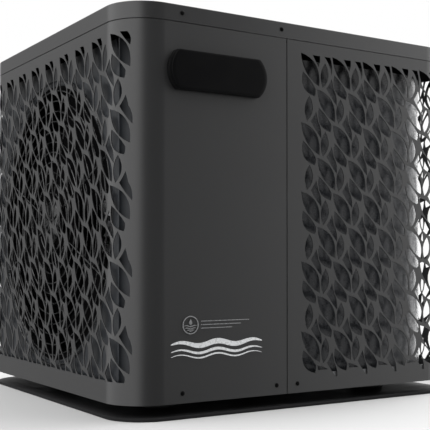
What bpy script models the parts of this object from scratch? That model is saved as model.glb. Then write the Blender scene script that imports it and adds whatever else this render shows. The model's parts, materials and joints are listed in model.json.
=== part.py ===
"""Compact pool and spa heat pump: a cube-like sheet-metal casing of about half a metre on a side.

+Z is up and the front faces -Y. Air comes in through the leaf grille on the right of the front and on the
right side, passes the bent evaporator coil, and leaves through the fan on the left side (-X). The water
unions stand out of the back. The origin is on the ground, under the middle of the whole unit.
"""

import math

import bmesh
import bpy
from mathutils import Matrix, Vector

# Driving dimensions of the casing, in metres
WIDTH = 0.500
DEPTH = 0.460
HEIGHT = 0.470
CORNER_RADIUS = 0.050
CORNER_STEPS = 8
SHEET = 0.0015
GAP = 0.0003
CASING_BOTTOM = 0.018
COVER_SKIRT = 0.0193
COVER_SEAM = 0.0010
LIP_HEIGHT = 0.0170
TOP_EDGE_ROUNDING = 0.0010
PAN_FLANGE_TOP = 0.040
BASE_PLATE_THICKNESS = 0.004

# What stands out of the casing
CONTROL_PROUD = 0.0103
UNION_PROUD = 0.070

# Places of the casing's faces
CASE_Y = (CONTROL_PROUD - UNION_PROUD) / 2
LEFT_X = -WIDTH / 2
RIGHT_X = WIDTH / 2
FRONT_Y = CASE_Y - DEPTH / 2
REAR_Y = CASE_Y + DEPTH / 2
COVER_BOTTOM = HEIGHT - COVER_SKIRT
PANEL_TOP = COVER_BOTTOM - COVER_SEAM
LIP_INSET = SHEET + GAP
PAN_FLOOR = CASING_BOTTOM + SHEET
INNER_FLOOR = PAN_FLOOR + GAP
INNER_TOP = PANEL_TOP - 0.004

# Seams between the casing panels
SEAM = 0.0013
FRONT_SEAM_X = -0.0326
REAR_SEAM_X = 0.150

# Leaf grille: the large leaf of each cluster, on a staggered lattice
LEAF_PITCH_X = 0.04945
LEAF_PITCH_Z = 0.0429
LEAF_ROWS = 9
LEAF_TOP = 0.0346
LEAF_WIDTH = 0.0270
LEAF_DROP = 0.0375
LEAF_BULGE_UPPER = 0.0106
LEAF_BULGE_LOWER = 0.0068
FRONT_LEAF_START = 0.2395
LEFT_LEAF_START = 0.0895

# Fan, with its axis along X through the left side
FAN_Y = CASE_Y
FAN_Z = 0.228
ORIFICE_RADIUS = 0.177
FAN_RADIUS = 0.164
DECK_INSET = 0.0075
DECK_SHEET = 0.0012
DECK_EDGE = 0.0315
DECK_FLANGE = 0.040
DECK_TOP = 0.431
SHAFT_RADIUS = 0.004
HUB_FRONT_X = -0.229
ROUND_STEPS = 36

# Evaporator coil
COIL_INSET = 0.012
COIL_DEPTH = 0.022
COIL_BEND = 0.075
COIL_START_X = -0.013
COIL_END_Y = CASE_Y + 0.150
COIL_BOTTOM = 0.024
COIL_TOP = 0.430

# Water side
PORT_X = 0.050
INLET_Z = 0.095
OUTLET_Z = 0.300
PORT_OUTER = 0.024
PORT_BORE = 0.017
TAIL_OUTER = 0.021
EXCHANGER_Y = CASE_Y + 0.120
EXCHANGER_RADIUS = 0.060
EXCHANGER_WALL = 0.005
PADDLE_Y = CASE_Y + 0.205

# Refrigerant side
COMPRESSOR_X = 0.055
COMPRESSOR_Y = CASE_Y - 0.050
COMPRESSOR_RADIUS = 0.060
COMPRESSOR_TOP = 0.262
FOOT_CIRCLE = 0.078
ACCUMULATOR_X = -0.038
ACCUMULATOR_RADIUS = 0.026
ACCUMULATOR_BOTTOM = 0.080
ACCUMULATOR_TOP = 0.230
VALVE_Z = 0.345
DRIER_X = 0.150
DRIER_Y = CASE_Y + 0.040
DRIER_RADIUS = 0.012
DRIER_BOTTOM = 0.100
DRIER_TOP = 0.190
EXPANSION_LOW = 0.1905
EXPANSION_HIGH = 0.2595
EXPANSION_RADIUS = 0.014

# Control module on the front
CONTROL_X = -0.133
CONTROL_Z = 0.3950
CONTROL_WIDTH = 0.1315
CONTROL_HEIGHT = 0.0450
CONTROL_BOW = 0.010
CONTROL_GLASS = 0.003

# Small things on the front: places of the screws and of the emblem
EMBLEM_X = -0.168
EMBLEM_Z = 0.106
SKIRT_SCREWS_X = (-0.1788, -0.0403)
BASE_SCREWS_X = (-0.1778, -0.0481, -0.0171)
SKIRT_SCREW_Z = HEIGHT - 0.0093
BASE_SCREW_Z = CASING_BOTTOM + 0.0113

# Electrical box behind the front panel, and the cable gland in the rear panel
BOX_LEFT = -0.175
BOX_RIGHT = -0.055
BOX_BACK = 0.006
BOX_DEPTH = 0.098
BOX_BOTTOM = 0.250
BOX_TOP = 0.440
GLAND_X = -0.100
GLAND_Z = 0.100

PARTS = "heat_pump_unit"
CUTTERS = "cutters"


def fresh_scene():
    for obj in list(bpy.data.objects):
        bpy.data.objects.remove(obj, do_unlink=True)
    for name in (PARTS, CUTTERS):
        collection = bpy.data.collections.new(name)
        bpy.context.scene.collection.children.link(collection)


def material(name, colour, roughness, metallic=0.0):
    made = bpy.data.materials.new(name)
    made.use_nodes = True
    shader = made.node_tree.nodes["Principled BSDF"]
    shader.inputs["Base Color"].default_value = (*colour, 1.0)
    shader.inputs["Roughness"].default_value = roughness
    shader.inputs["Metallic"].default_value = metallic
    return made


def make_materials():
    return {
        "casing": material("casing_paint", (0.045, 0.047, 0.050), 0.45),
        "deck": material("deck_paint", (0.050, 0.056, 0.064), 0.50),
        "galvanised": material("galvanised_steel", (0.46, 0.47, 0.48), 0.40, 1.0),
        "black_plastic": material("black_plastic", (0.010, 0.010, 0.011), 0.40),
        "gloss": material("gloss_black", (0.004, 0.004, 0.005), 0.08),
        "rubber": material("black_rubber", (0.012, 0.012, 0.012), 0.80),
        "coil": material("coil_fins", (0.060, 0.064, 0.072), 0.35, 0.8),
        "copper": material("copper_pipe", (0.60, 0.27, 0.15), 0.30, 1.0),
        "brass": material("brass_fitting", (0.62, 0.45, 0.20), 0.30, 1.0),
        "steel": material("bright_steel", (0.55, 0.55, 0.56), 0.30, 1.0),
        "titanium": material("titanium_tube", (0.40, 0.39, 0.38), 0.32, 1.0),
        "shell": material("black_enamel", (0.015, 0.015, 0.016), 0.35),
        "pvc": material("grey_pvc", (0.16, 0.17, 0.18), 0.45),
        "board": material("circuit_board", (0.02, 0.16, 0.06), 0.45),
        "badge": material("light_badge", (0.78, 0.79, 0.80), 0.30),
    }


def collect(obj, group=PARTS):
    bpy.data.collections[group].objects.link(obj)
    if group == CUTTERS:
        obj.hide_render = True
        obj.display_type = "WIRE"
    return obj


def object_from(bm, name, mat=None, group=PARTS, smooth_degrees=None):
    bmesh.ops.recalc_face_normals(bm, faces=bm.faces)
    mesh = bpy.data.meshes.new(name)
    bm.to_mesh(mesh)
    bm.free()
    if mat:
        mesh.materials.append(mat)
    if smooth_degrees:
        mesh.shade_smooth()
        mesh.set_sharp_from_angle(angle=math.radians(smooth_degrees))
    return collect(bpy.data.objects.new(name, mesh), group)


def block(name, low, high, mat=None, group=PARTS):
    """A box from its lowest to its highest corner."""
    low, high = Vector(low), Vector(high)
    bm = bmesh.new()
    bmesh.ops.create_cube(bm, size=1.0)
    bmesh.ops.scale(bm, vec=high - low, verts=bm.verts)
    piece = object_from(bm, name, mat, group)
    piece.location = (low + high) / 2
    return piece


def slab(name, outline, low_z, high_z, mat=None, group=PARTS):
    """A flat outline in plan, raised from low_z to high_z."""
    bm = bmesh.new()
    face = bm.faces.new([bm.verts.new((x, y, low_z)) for x, y in outline])
    raised = bmesh.ops.extrude_face_region(bm, geom=[face])
    moved = [item for item in raised["geom"] if isinstance(item, bmesh.types.BMVert)]
    bmesh.ops.translate(bm, vec=(0, 0, high_z - low_z), verts=moved)
    return object_from(bm, name, mat, group)


def turn_to(obj, axis):
    """Turns an object's own Z to lie along X, Y or Z."""
    turns = {"X": (0, math.pi / 2, 0), "Y": (-math.pi / 2, 0, 0), "Z": (0, 0, 0)}
    obj.rotation_euler = turns[axis]


def turned(name, profile, centre, axis, mat, steps=ROUND_STEPS):
    """A profile of (radius, height) turned about an axis, from the top down the outer side.

    A profile that does not start and end on the axis is hollow and closes on itself.
    """
    hollow = profile[0][0] > 0 and profile[-1][0] > 0
    count = len(profile)
    edges = [(i, (i + 1) % count) for i in range(count if hollow else count - 1)]
    mesh = bpy.data.meshes.new(name)
    mesh.from_pydata([(radius, 0, height) for radius, height in profile], edges, [])
    mesh.materials.append(mat)
    piece = collect(bpy.data.objects.new(name, mesh))
    piece.location = centre
    turn_to(piece, axis)
    screw = piece.modifiers.new("turned", "SCREW")
    screw.steps = screw.render_steps = steps
    screw.use_smooth_shade = False
    screw.use_merge_vertices = True
    screw.merge_threshold = 1e-5
    return piece


def rod(name, centre, axis, radius, length, mat=None, group=PARTS, sides=24):
    """A cylinder centred on a point, along X, Y or Z."""
    bm = bmesh.new()
    bmesh.ops.create_cone(
        bm, cap_ends=True, segments=sides, radius1=radius, radius2=radius, depth=length
    )
    piece = object_from(bm, name, mat, group, smooth_degrees=40 if group == PARTS else None)
    piece.location = centre
    turn_to(piece, axis)
    return piece


def boolean(piece, other, operation="DIFFERENCE"):
    change = piece.modifiers.new(f"{operation.lower()}_{other.name}", "BOOLEAN")
    change.operation = operation
    change.object = other
    change.solver = "EXACT"


def drill(piece, centre, axis, radius, length, sides=16):
    cutter = rod(f"hole_in_{piece.name}", centre, axis, radius, length, group=CUTTERS, sides=sides)
    boolean(piece, cutter)


def arc(centre, radius, start, end, steps):
    """Points on an arc between two angles in degrees, both ends included."""
    return [
        (
            centre[0] + radius * math.cos(math.radians(start + (end - start) * i / steps)),
            centre[1] + radius * math.sin(math.radians(start + (end - start) * i / steps)),
        )
        for i in range(steps + 1)
    ]


def casing_corner(side, end, inset, start, finish):
    """One rounded corner of the casing in plan: side is -1 left or 1 right, end is -1 front or 1 rear."""
    centre = (
        side * (WIDTH / 2 - CORNER_RADIUS),
        CASE_Y + end * (DEPTH / 2 - CORNER_RADIUS),
    )
    return arc(centre, CORNER_RADIUS - inset, start, finish, CORNER_STEPS)


def casing_outline(inset):
    """The casing's closed outline in plan, moved inwards by inset."""
    return (
        casing_corner(1, 1, inset, 0, 90)
        + casing_corner(-1, 1, inset, 90, 180)
        + casing_corner(-1, -1, inset, 180, 270)
        + casing_corner(1, -1, inset, 270, 360)
    )


def left_path(inset):
    return [
        (FRONT_SEAM_X - SEAM / 2, FRONT_Y + inset),
        *casing_corner(-1, -1, inset, 270, 180),
        *casing_corner(-1, 1, inset, 180, 90),
        (-REAR_SEAM_X - SEAM / 2, REAR_Y - inset),
    ]


def right_path(inset):
    return [
        (FRONT_SEAM_X + SEAM / 2, FRONT_Y + inset),
        *casing_corner(1, -1, inset, -90, 0),
        *casing_corner(1, 1, inset, 0, 90),
        (REAR_SEAM_X + SEAM / 2, REAR_Y - inset),
    ]


def rear_path(inset):
    return [
        (-REAR_SEAM_X + SEAM / 2, REAR_Y - inset),
        (REAR_SEAM_X - SEAM / 2, REAR_Y - inset),
    ]


def panel(name, path, mat):
    """A sheet-metal wall that follows a path, with a lip that steps in behind the cover's skirt."""
    profile = [
        (0, CASING_BOTTOM),
        (0, PANEL_TOP),
        (LIP_INSET, PANEL_TOP),
        (LIP_INSET, PANEL_TOP + LIP_HEIGHT),
        (LIP_INSET + SHEET, PANEL_TOP + LIP_HEIGHT),
        (LIP_INSET + SHEET, PANEL_TOP - SHEET),
        (SHEET, PANEL_TOP - SHEET),
        (SHEET, CASING_BOTTOM),
    ]
    bm = bmesh.new()
    rows = [[bm.verts.new((x, y, z)) for x, y in path(inset)] for inset, z in profile]
    for below, above in zip(rows, rows[1:] + rows[:1]):
        for a, b, c, d in zip(below, below[1:], above[1:], above):
            bm.faces.new((a, b, c, d))
    for end in (0, -1):
        bm.faces.new([row[end] for row in rows])
    return object_from(bm, name, mat, smooth_degrees=30)


def cup(name, rings, mat):
    """A closed shell from rings of (inset, z), from the middle of one skin to the middle of the other."""
    bm = bmesh.new()
    loops = [[bm.verts.new((x, y, z)) for x, y in casing_outline(inset)] for inset, z in rings]
    for below, above in zip(loops, loops[1:]):
        for i in range(len(below)):
            bm.faces.new((below[i - 1], below[i], above[i], above[i - 1]))
    for loop in (loops[0], loops[-1]):
        bm.faces.new(loop)
    return object_from(bm, name, mat, smooth_degrees=30)


def leaf_outline():
    """The large leaf, from its upper left tip to its lower right tip and back: (right, down) points."""
    drop = Vector((LEAF_WIDTH, LEAF_DROP))
    across = Vector((drop.y, -drop.x)).normalized()
    sides = []
    for bulge, places in ((LEAF_BULGE_UPPER, (0, 1 / 2)), (-LEAF_BULGE_LOWER, (1, 1 / 2))):
        sides += [drop * place + across * bulge * 4 * place * (1 - place) for place in places]
    return sides


def grille_cutter(name, origin, right, first, low, high):
    """Prisms of all the large leaves on one flat wall.

    origin is a point of the wall's plane at the top of the casing, and right is the wall's direction to the
    right seen from outside. The leaves stay between low and high, counted from origin.
    """
    right = Vector(right)
    inward = right.cross(Vector((0, 0, 1))) * -1
    bm = bmesh.new()
    for row in range(LEAF_ROWS):
        start = first + (row % 2) * LEAF_PITCH_X / 2
        start -= math.ceil((start - low) / LEAF_PITCH_X) * LEAF_PITCH_X
        while start + LEAF_WIDTH < high:
            if start > low:
                tip = Vector(origin) + right * start - Vector((0, 0, LEAF_TOP + row * LEAF_PITCH_Z))
                add_leaf_prism(bm, tip, right, inward)
            start += LEAF_PITCH_X
    return object_from(bm, name, group=CUTTERS)


def add_leaf_prism(bm, tip, right, inward):
    corners = [
        bm.verts.new(tip + right * point.x - Vector((0, 0, point.y)) - inward * SHEET)
        for point in leaf_outline()
    ]
    face = bm.faces.new(corners)
    raised = bmesh.ops.extrude_face_region(bm, geom=[face])
    moved = [item for item in raised["geom"] if isinstance(item, bmesh.types.BMVert)]
    bmesh.ops.translate(bm, vec=inward * SHEET * 3, verts=moved)


def make_casing(mats):
    slab("base_plate", casing_outline(0), 0, BASE_PLATE_THICKNESS, mats["black_plastic"])
    make_feet(mats)
    pan = cup(
        "base_pan",
        [
            (LIP_INSET, CASING_BOTTOM),
            (LIP_INSET, PAN_FLANGE_TOP),
            (LIP_INSET + SHEET, PAN_FLANGE_TOP),
            (LIP_INSET + SHEET, PAN_FLOOR),
        ],
        mats["galvanised"],
    )
    left = panel("left_wrap_panel", left_path, mats["casing"])
    right = panel("right_wrap_panel", right_path, mats["casing"])
    rear = panel("rear_panel", rear_path, mats["casing"])
    cover = cup(
        "top_cover",
        [
            (LIP_INSET * 2, HEIGHT - SHEET),
            (SHEET, HEIGHT - SHEET * 2),
            (SHEET, COVER_BOTTOM),
            (0, COVER_BOTTOM),
            (0, HEIGHT - TOP_EDGE_ROUNDING),
            (TOP_EDGE_ROUNDING * 0.3, HEIGHT - TOP_EDGE_ROUNDING * 0.3),
            (TOP_EDGE_ROUNDING, HEIGHT),
        ],
        mats["casing"],
    )
    perforate(left, right)
    for z in (INLET_Z, OUTLET_Z):
        drill(rear, (PORT_X, REAR_Y, z), "Y", PORT_OUTER + 2 * GAP, SHEET * 4, sides=32)
    make_screws(mats, cover, left, right, pan)
    return rear


def make_feet(mats):
    inset_x, inset_y, radius = 0.085, 0.085, 0.022
    height = CASING_BOTTOM - BASE_PLATE_THICKNESS - 2 * GAP
    middle = (CASING_BOTTOM + BASE_PLATE_THICKNESS) / 2
    for name, side, end in (
        ("foot_front_left", -1, -1),
        ("foot_front_right", 1, -1),
        ("foot_rear_left", -1, 1),
        ("foot_rear_right", 1, 1),
    ):
        place = (side * (WIDTH / 2 - inset_x), CASE_Y + end * (DEPTH / 2 - inset_y), middle)
        rod(name, place, "Z", radius, height, mats["rubber"])


def perforate(left, right):
    """Cuts the large leaves out of the flat walls: left side, right of the front, and right side."""
    margin = 0.002
    side_flat = DEPTH - 2 * CORNER_RADIUS
    left_cutter = grille_cutter(
        "left_leaves",
        origin=(LEFT_X, FRONT_Y, HEIGHT),
        right=(0, -1, 0),
        first=-LEFT_LEAF_START,
        low=-CORNER_RADIUS - side_flat,
        high=-CORNER_RADIUS,
    )
    front_cutter = grille_cutter(
        "front_leaves",
        origin=(LEFT_X, FRONT_Y, HEIGHT),
        right=(1, 0, 0),
        first=FRONT_LEAF_START,
        low=FRONT_LEAF_START - margin,
        high=WIDTH - CORNER_RADIUS,
    )
    right_cutter = grille_cutter(
        "right_leaves",
        origin=(RIGHT_X, FRONT_Y, HEIGHT),
        right=(0, 1, 0),
        first=CORNER_RADIUS + margin,
        low=CORNER_RADIUS,
        high=CORNER_RADIUS + side_flat,
    )
    boolean(left, left_cutter)
    boolean(right, front_cutter)
    boolean(right, right_cutter)


def make_screws(mats, cover, left, right, pan):
    """Round-headed screws: two through the cover's skirt and three along the bottom of the front."""
    places = (
        ("skirt_screw_left", SKIRT_SCREWS_X[0], SKIRT_SCREW_Z, (cover, left)),
        ("skirt_screw_right", SKIRT_SCREWS_X[1], SKIRT_SCREW_Z, (cover, left)),
        ("base_screw_corner", BASE_SCREWS_X[0], BASE_SCREW_Z, (left, pan)),
        ("base_screw_seam_left", BASE_SCREWS_X[1], BASE_SCREW_Z, (left, pan)),
        ("base_screw_seam_right", BASE_SCREWS_X[2], BASE_SCREW_Z, (right, pan)),
    )
    shank, head, hole = 0.0015, 0.0027, 0.0019
    head_height = 0.0012
    length = LIP_INSET + SHEET
    for name, x, z, sheets in places:
        profile = [
            (0, length),
            (shank, length),
            (shank, -GAP),
            (head, -GAP),
            (head, -GAP - head_height / 2),
            (head * 0.6, -GAP - head_height),
            (0, -GAP - head_height),
        ]
        turned(name, profile, (x, FRONT_Y, z), "Y", mats["black_plastic"], steps=12)
        for sheet in sheets:
            drill(sheet, (x, FRONT_Y, z), "Y", hole, length * 3, sides=12)


def channel(name, x, wall_y, inward, mats):
    """An upright post behind a seam: a folded channel whose web is against the panels."""
    half, depth, web = 0.015, 0.018, SHEET
    front = LIP_INSET + SHEET + GAP
    outline = [
        (x - half, wall_y + inward * front),
        (x + half, wall_y + inward * front),
        (x + half, wall_y + inward * (front + depth)),
        (x + half - web, wall_y + inward * (front + depth)),
        (x + half - web, wall_y + inward * (front + web)),
        (x - half + web, wall_y + inward * (front + web)),
        (x - half + web, wall_y + inward * (front + depth)),
        (x - half, wall_y + inward * (front + depth)),
    ]
    slab(name, outline, INNER_FLOOR, INNER_TOP, mats["galvanised"])


def make_posts(mats):
    channel("front_post", FRONT_SEAM_X, FRONT_Y, 1, mats)
    channel("rear_left_post", -REAR_SEAM_X, REAR_Y, -1, mats)
    channel("rear_right_post", REAR_SEAM_X, REAR_Y, -1, mats)


def pill_outline(shrink=0.0):
    """The control module from the front as (x, z): straight above and below, with bowed ends."""
    half_width = CONTROL_WIDTH / 2 - shrink
    half_height = CONTROL_HEIGHT / 2 - shrink
    radius = (CONTROL_BOW**2 + half_height**2) / (2 * CONTROL_BOW)
    swing = math.degrees(math.asin(half_height / radius))
    right = arc((half_width - radius, 0), radius, -swing, swing, 8)
    left = arc((radius - half_width, 0), radius, 180 - swing, 180 + swing, 8)
    return right + left


def pill(name, rings, mat):
    """A solid in the shape of the control module, from rings of (shrink, y)."""
    bm = bmesh.new()
    loops = [
        [bm.verts.new((CONTROL_X + x, y, CONTROL_Z + z)) for x, z in pill_outline(shrink)]
        for shrink, y in rings
    ]
    for below, above in zip(loops, loops[1:]):
        for i in range(len(below)):
            bm.faces.new((below[i - 1], below[i], above[i], above[i - 1]))
    bm.faces.new(loops[0])
    bm.faces.new(loops[-1])
    object_from(bm, name, mat, smooth_degrees=30)


def make_control(mats):
    """A black housing on the front panel with a glossy touch face on it."""
    face = FRONT_Y - CONTROL_PROUD
    seam = face + CONTROL_GLASS
    edge = 0.0012
    housing_rings = ((0, FRONT_Y - GAP), (0, seam + GAP))
    glass_rings = ((0, seam), (0, face + edge), (edge, face))
    pill("control_housing", housing_rings, mats["black_plastic"])
    pill("control_glass", glass_rings, mats["gloss"])


def make_emblem(mats):
    """A plain round emblem low on the front panel."""
    radius, thickness = 0.0105, 0.0010
    place = (EMBLEM_X, FRONT_Y - GAP - thickness / 2, EMBLEM_Z)
    rod("emblem_disc", place, "Y", radius, thickness, mats["badge"], sides=32)


def make_fan_deck(mats):
    near = LEFT_X + DECK_INSET
    front = FRONT_Y + DECK_EDGE
    rear = REAR_Y - DECK_EDGE
    outline = [
        (near, front),
        (near + DECK_FLANGE, front),
        (near + DECK_FLANGE, front + DECK_SHEET),
        (near + DECK_SHEET, front + DECK_SHEET),
        (near + DECK_SHEET, rear - DECK_SHEET),
        (near + DECK_FLANGE, rear - DECK_SHEET),
        (near + DECK_FLANGE, rear),
        (near, rear),
    ]
    deck = slab("fan_deck", outline, INNER_FLOOR, DECK_TOP, mats["deck"])
    drill(deck, (near, FAN_Y, FAN_Z), "X", ORIFICE_RADIUS, DECK_SHEET * 8, sides=ROUND_STEPS)
    make_orifice_ring(mats, near + DECK_SHEET + GAP)
    make_guard(mats, near)


def make_orifice_ring(mats, start):
    """The short plastic tunnel behind the deck, in which the fan turns."""
    wall, flange, flange_thickness, length = 0.002, 0.010, 0.002, 0.027
    bore = FAN_RADIUS + 0.0065
    profile = [
        (bore, length),
        (bore + wall, length),
        (bore + wall, flange_thickness),
        (bore + wall + flange, flange_thickness),
        (bore + wall + flange, 0),
        (bore, 0),
    ]
    turned("orifice_ring", profile, (start, FAN_Y, FAN_Z), "X", mats["black_plastic"])


def make_guard(mats, deck_face):
    """Five wire rings on three crossing bars, in front of the orifice."""
    wire = 0.0012
    centre = Vector((deck_face - wire - GAP * 2, FAN_Y, FAN_Z))
    outer = 0.1835
    radii = [outer * i / 5 for i in range(1, 5)]
    guard = ring("fan_guard", centre, outer, wire, PARTS, mats["black_plastic"])
    for number, radius in enumerate(radii):
        boolean(guard, ring(f"guard_ring_{number}", centre, radius, wire, CUTTERS), "UNION")
    for number in range(3):
        bar = rod(f"guard_bar_{number}", centre, "Z", wire * 0.85, outer * 2, group=CUTTERS, sides=6)
        bar.rotation_euler = (math.radians(60 * number + 5), 0, 0)
        boolean(guard, bar, "UNION")


def ring(name, centre, radius, wire, group, mat=None):
    """A wire ring about X."""
    bpy.ops.mesh.primitive_torus_add(
        major_radius=radius,
        minor_radius=wire,
        major_segments=24,
        minor_segments=5,
        location=centre,
        rotation=(0, math.pi / 2, 0),
    )
    made = bpy.context.active_object
    made.name = name
    for owner in list(made.users_collection):
        owner.objects.unlink(made)
    if mat:
        made.data.materials.append(mat)
    return collect(made, group)


def blade_mesh(bm, turn):
    """One swept and twisted fan blade as an open sheet of points."""
    radial_steps, chord_steps = 5, 5
    root, tip = 0.030, FAN_RADIUS
    rows = []
    for i in range(radial_steps + 1):
        share = i / radial_steps
        radius = root + (tip - root) * share
        span = math.radians(58 + 34 * share)
        lead = math.radians(20 * share * share)
        depth = 0.026 + 0.012 * share
        row = []
        for j in range(chord_steps + 1):
            along = j / chord_steps - 0.5
            angle = turn + lead + along * span
            arch = 0.004 * (1 - 4 * along * along)
            place = (along * depth + arch, radius * math.cos(angle), radius * math.sin(angle))
            row.append(bm.verts.new(place))
        rows.append(row)
    for inner, outer in zip(rows, rows[1:]):
        for a, b, c, d in zip(inner, inner[1:], outer[1:], outer):
            bm.faces.new((a, b, c, d))


def make_fan(mats):
    """Rotor, shaft and nut, which turn together about X."""
    hub_front, hub_length, hub_radius = HUB_FRONT_X, 0.039, 0.040
    bore = SHAFT_RADIUS + GAP
    hub = [
        (bore, hub_length),
        (hub_radius, hub_length),
        (hub_radius, 0.006),
        (hub_radius - 0.006, 0),
        (bore, 0),
    ]
    rotor = turned("fan_rotor", hub, (hub_front, FAN_Y, FAN_Z), "X", mats["black_plastic"], steps=24)
    bm = bmesh.new()
    for number in range(3):
        blade_mesh(bm, math.radians(120 * number))
    blades = object_from(bm, "fan_blades", group=CUTTERS)
    blades.location = (hub_front + hub_length / 2, FAN_Y, FAN_Z)
    thickness = blades.modifiers.new("thickness", "SOLIDIFY")
    thickness.thickness = 0.0025
    thickness.offset = 0
    boolean(rotor, blades, "UNION")
    shaft_start, shaft_end = hub_front - 0.0095, hub_front + 0.079
    middle = ((shaft_start + shaft_end) / 2, FAN_Y, FAN_Z)
    rod("fan_shaft", middle, "X", SHAFT_RADIUS, shaft_end - shaft_start, mats["steel"], sides=16)
    nut_height, nut_radius = 0.006, 0.0075
    nut = rod(
        "fan_nut",
        (hub_front - GAP - nut_height / 2, FAN_Y, FAN_Z),
        "X",
        nut_radius,
        nut_height,
        mats["steel"],
        sides=6,
    )
    drill(nut, (hub_front - nut_height / 2, FAN_Y, FAN_Z), "X", bore, nut_height * 3)


def make_motor(mats):
    front, length, radius, rounding = HUB_FRONT_X + 0.064, 0.075, 0.046, 0.006
    boss_radius, boss_length = 0.016, 0.007
    bore, bore_depth = SHAFT_RADIUS + 2 * GAP, 0.020
    profile = [
        (0, length),
        (radius - rounding, length),
        (radius, length - rounding),
        (radius, rounding),
        (radius - rounding, 0),
        (boss_radius, 0),
        (boss_radius, -boss_length),
        (bore, -boss_length),
        (bore, bore_depth),
        (0, bore_depth),
    ]
    turned("fan_motor", profile, (front, FAN_Y, FAN_Z), "X", mats["steel"], steps=24)
    plate_x = front + length + GAP
    half, flange = 0.055, 0.015
    outline = [
        (plate_x, FAN_Y - half),
        (plate_x + flange, FAN_Y - half),
        (plate_x + flange, FAN_Y - half + SHEET),
        (plate_x + SHEET, FAN_Y - half + SHEET),
        (plate_x + SHEET, FAN_Y + half - SHEET),
        (plate_x + flange, FAN_Y + half - SHEET),
        (plate_x + flange, FAN_Y + half),
        (plate_x, FAN_Y + half),
    ]
    slab("motor_bracket", outline, INNER_FLOOR, INNER_TOP, mats["galvanised"])


def make_coil(mats):
    """The finned coil behind the front grille, bent round the corner to run along the right side."""
    centre = (RIGHT_X - COIL_INSET - COIL_BEND, FRONT_Y + COIL_INSET + COIL_BEND)
    inner_bend = COIL_BEND - COIL_DEPTH
    outline = [
        (COIL_START_X, FRONT_Y + COIL_INSET),
        *arc(centre, COIL_BEND, -90, 0, 10),
        (RIGHT_X - COIL_INSET, COIL_END_Y),
        (RIGHT_X - COIL_INSET - COIL_DEPTH, COIL_END_Y),
        *arc(centre, inner_bend, 0, -90, 10),
        (COIL_START_X, FRONT_Y + COIL_INSET + COIL_DEPTH),
    ]
    slab("evaporator_coil", outline, COIL_BOTTOM, COIL_TOP, mats["coil"])
    border = 0.002
    block(
        "coil_plate_front",
        (COIL_START_X - GAP - SHEET, FRONT_Y + COIL_INSET - border, COIL_BOTTOM - border),
        (COIL_START_X - GAP, FRONT_Y + COIL_INSET + COIL_DEPTH + border, COIL_TOP + border),
        mats["galvanised"],
    )
    block(
        "coil_plate_rear",
        (RIGHT_X - COIL_INSET - COIL_DEPTH - border, COIL_END_Y + GAP, COIL_BOTTOM - border),
        (RIGHT_X - COIL_INSET + border, COIL_END_Y + GAP + SHEET, COIL_TOP + border),
        mats["galvanised"],
    )


def capsule(name, centre, radius, low, high, mat, steps=20):
    """An upright vessel with domed ends."""
    shoulder = radius * 0.45
    profile = [(0, high)]
    profile += [
        (radius * math.sin(math.radians(angle)), high - shoulder * (1 - math.cos(math.radians(angle))))
        for angle in (30, 60, 90)
    ]
    profile += [
        (radius * math.sin(math.radians(angle)), low + shoulder * (1 - math.cos(math.radians(angle))))
        for angle in (90, 60, 30)
    ]
    profile.append((0, low))
    return turned(name, profile, (centre[0], centre[1], 0), "Z", mat, steps)


def make_compressor(mats):
    place = (COMPRESSOR_X, COMPRESSOR_Y)
    plate_low = 0.0405
    plate_high = plate_low + 0.0025
    capsule("compressor_shell", place, COMPRESSOR_RADIUS, plate_high + GAP, COMPRESSOR_TOP, mats["shell"])
    grommet_radius = 0.012
    reach, spread = FOOT_CIRCLE + 0.014, math.radians(10)
    outline = []
    for number in range(3):
        foot = math.radians(90 + 120 * number)
        grommet = (
            COMPRESSOR_X + FOOT_CIRCLE * math.cos(foot),
            COMPRESSOR_Y + FOOT_CIRCLE * math.sin(foot),
        )
        low, high = INNER_FLOOR, plate_low - GAP
        rod(
            f"compressor_grommet_{number + 1}",
            (*grommet, (low + high) / 2),
            "Z",
            grommet_radius,
            high - low,
            mats["rubber"],
            sides=16,
        )
        for angle in (foot - spread, foot + spread):
            outline.append(
                (COMPRESSOR_X + reach * math.cos(angle), COMPRESSOR_Y + reach * math.sin(angle))
            )
    slab("compressor_plate", outline, plate_low, plate_high, mats["galvanised"])
    accumulator = (ACCUMULATOR_X, COMPRESSOR_Y)
    capsule(
        "accumulator",
        accumulator,
        ACCUMULATOR_RADIUS,
        ACCUMULATOR_BOTTOM,
        ACCUMULATOR_TOP,
        mats["shell"],
    )


def rounded_route(corners, bend, steps=4):
    """Points along straight runs, with each corner rounded to a bend radius."""
    corners = [Vector(corner) for corner in corners]
    route = [corners[0]]
    for before, corner, after in zip(corners, corners[1:], corners[2:]):
        back = (before - corner).normalized()
        ahead = (after - corner).normalized()
        half = back.angle(ahead) / 2
        centre = corner + (back + ahead).normalized() * bend / math.sin(half)
        start = corner + back * bend / math.tan(half) - centre
        end = corner + ahead * bend / math.tan(half) - centre
        axis = start.cross(end).normalized()
        sweep = start.angle(end)
        for i in range(steps + 1):
            route.append(centre + Matrix.Rotation(sweep * i / steps, 3, axis) @ start)
    route.append(corners[-1])
    return route


def pipe(name, points, radius, mat):
    """A round pipe along a route, as a curve with filled ends."""
    curve = bpy.data.curves.new(name, "CURVE")
    curve.dimensions = "3D"
    curve.bevel_depth = radius
    curve.bevel_resolution = 2
    curve.use_fill_caps = True
    spline = curve.splines.new("POLY")
    spline.points.add(len(points) - 1)
    for point, place in zip(spline.points, points):
        point.co = (*place, 1.0)
    curve.materials.append(mat)
    return collect(bpy.data.objects.new(name, curve))


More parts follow.
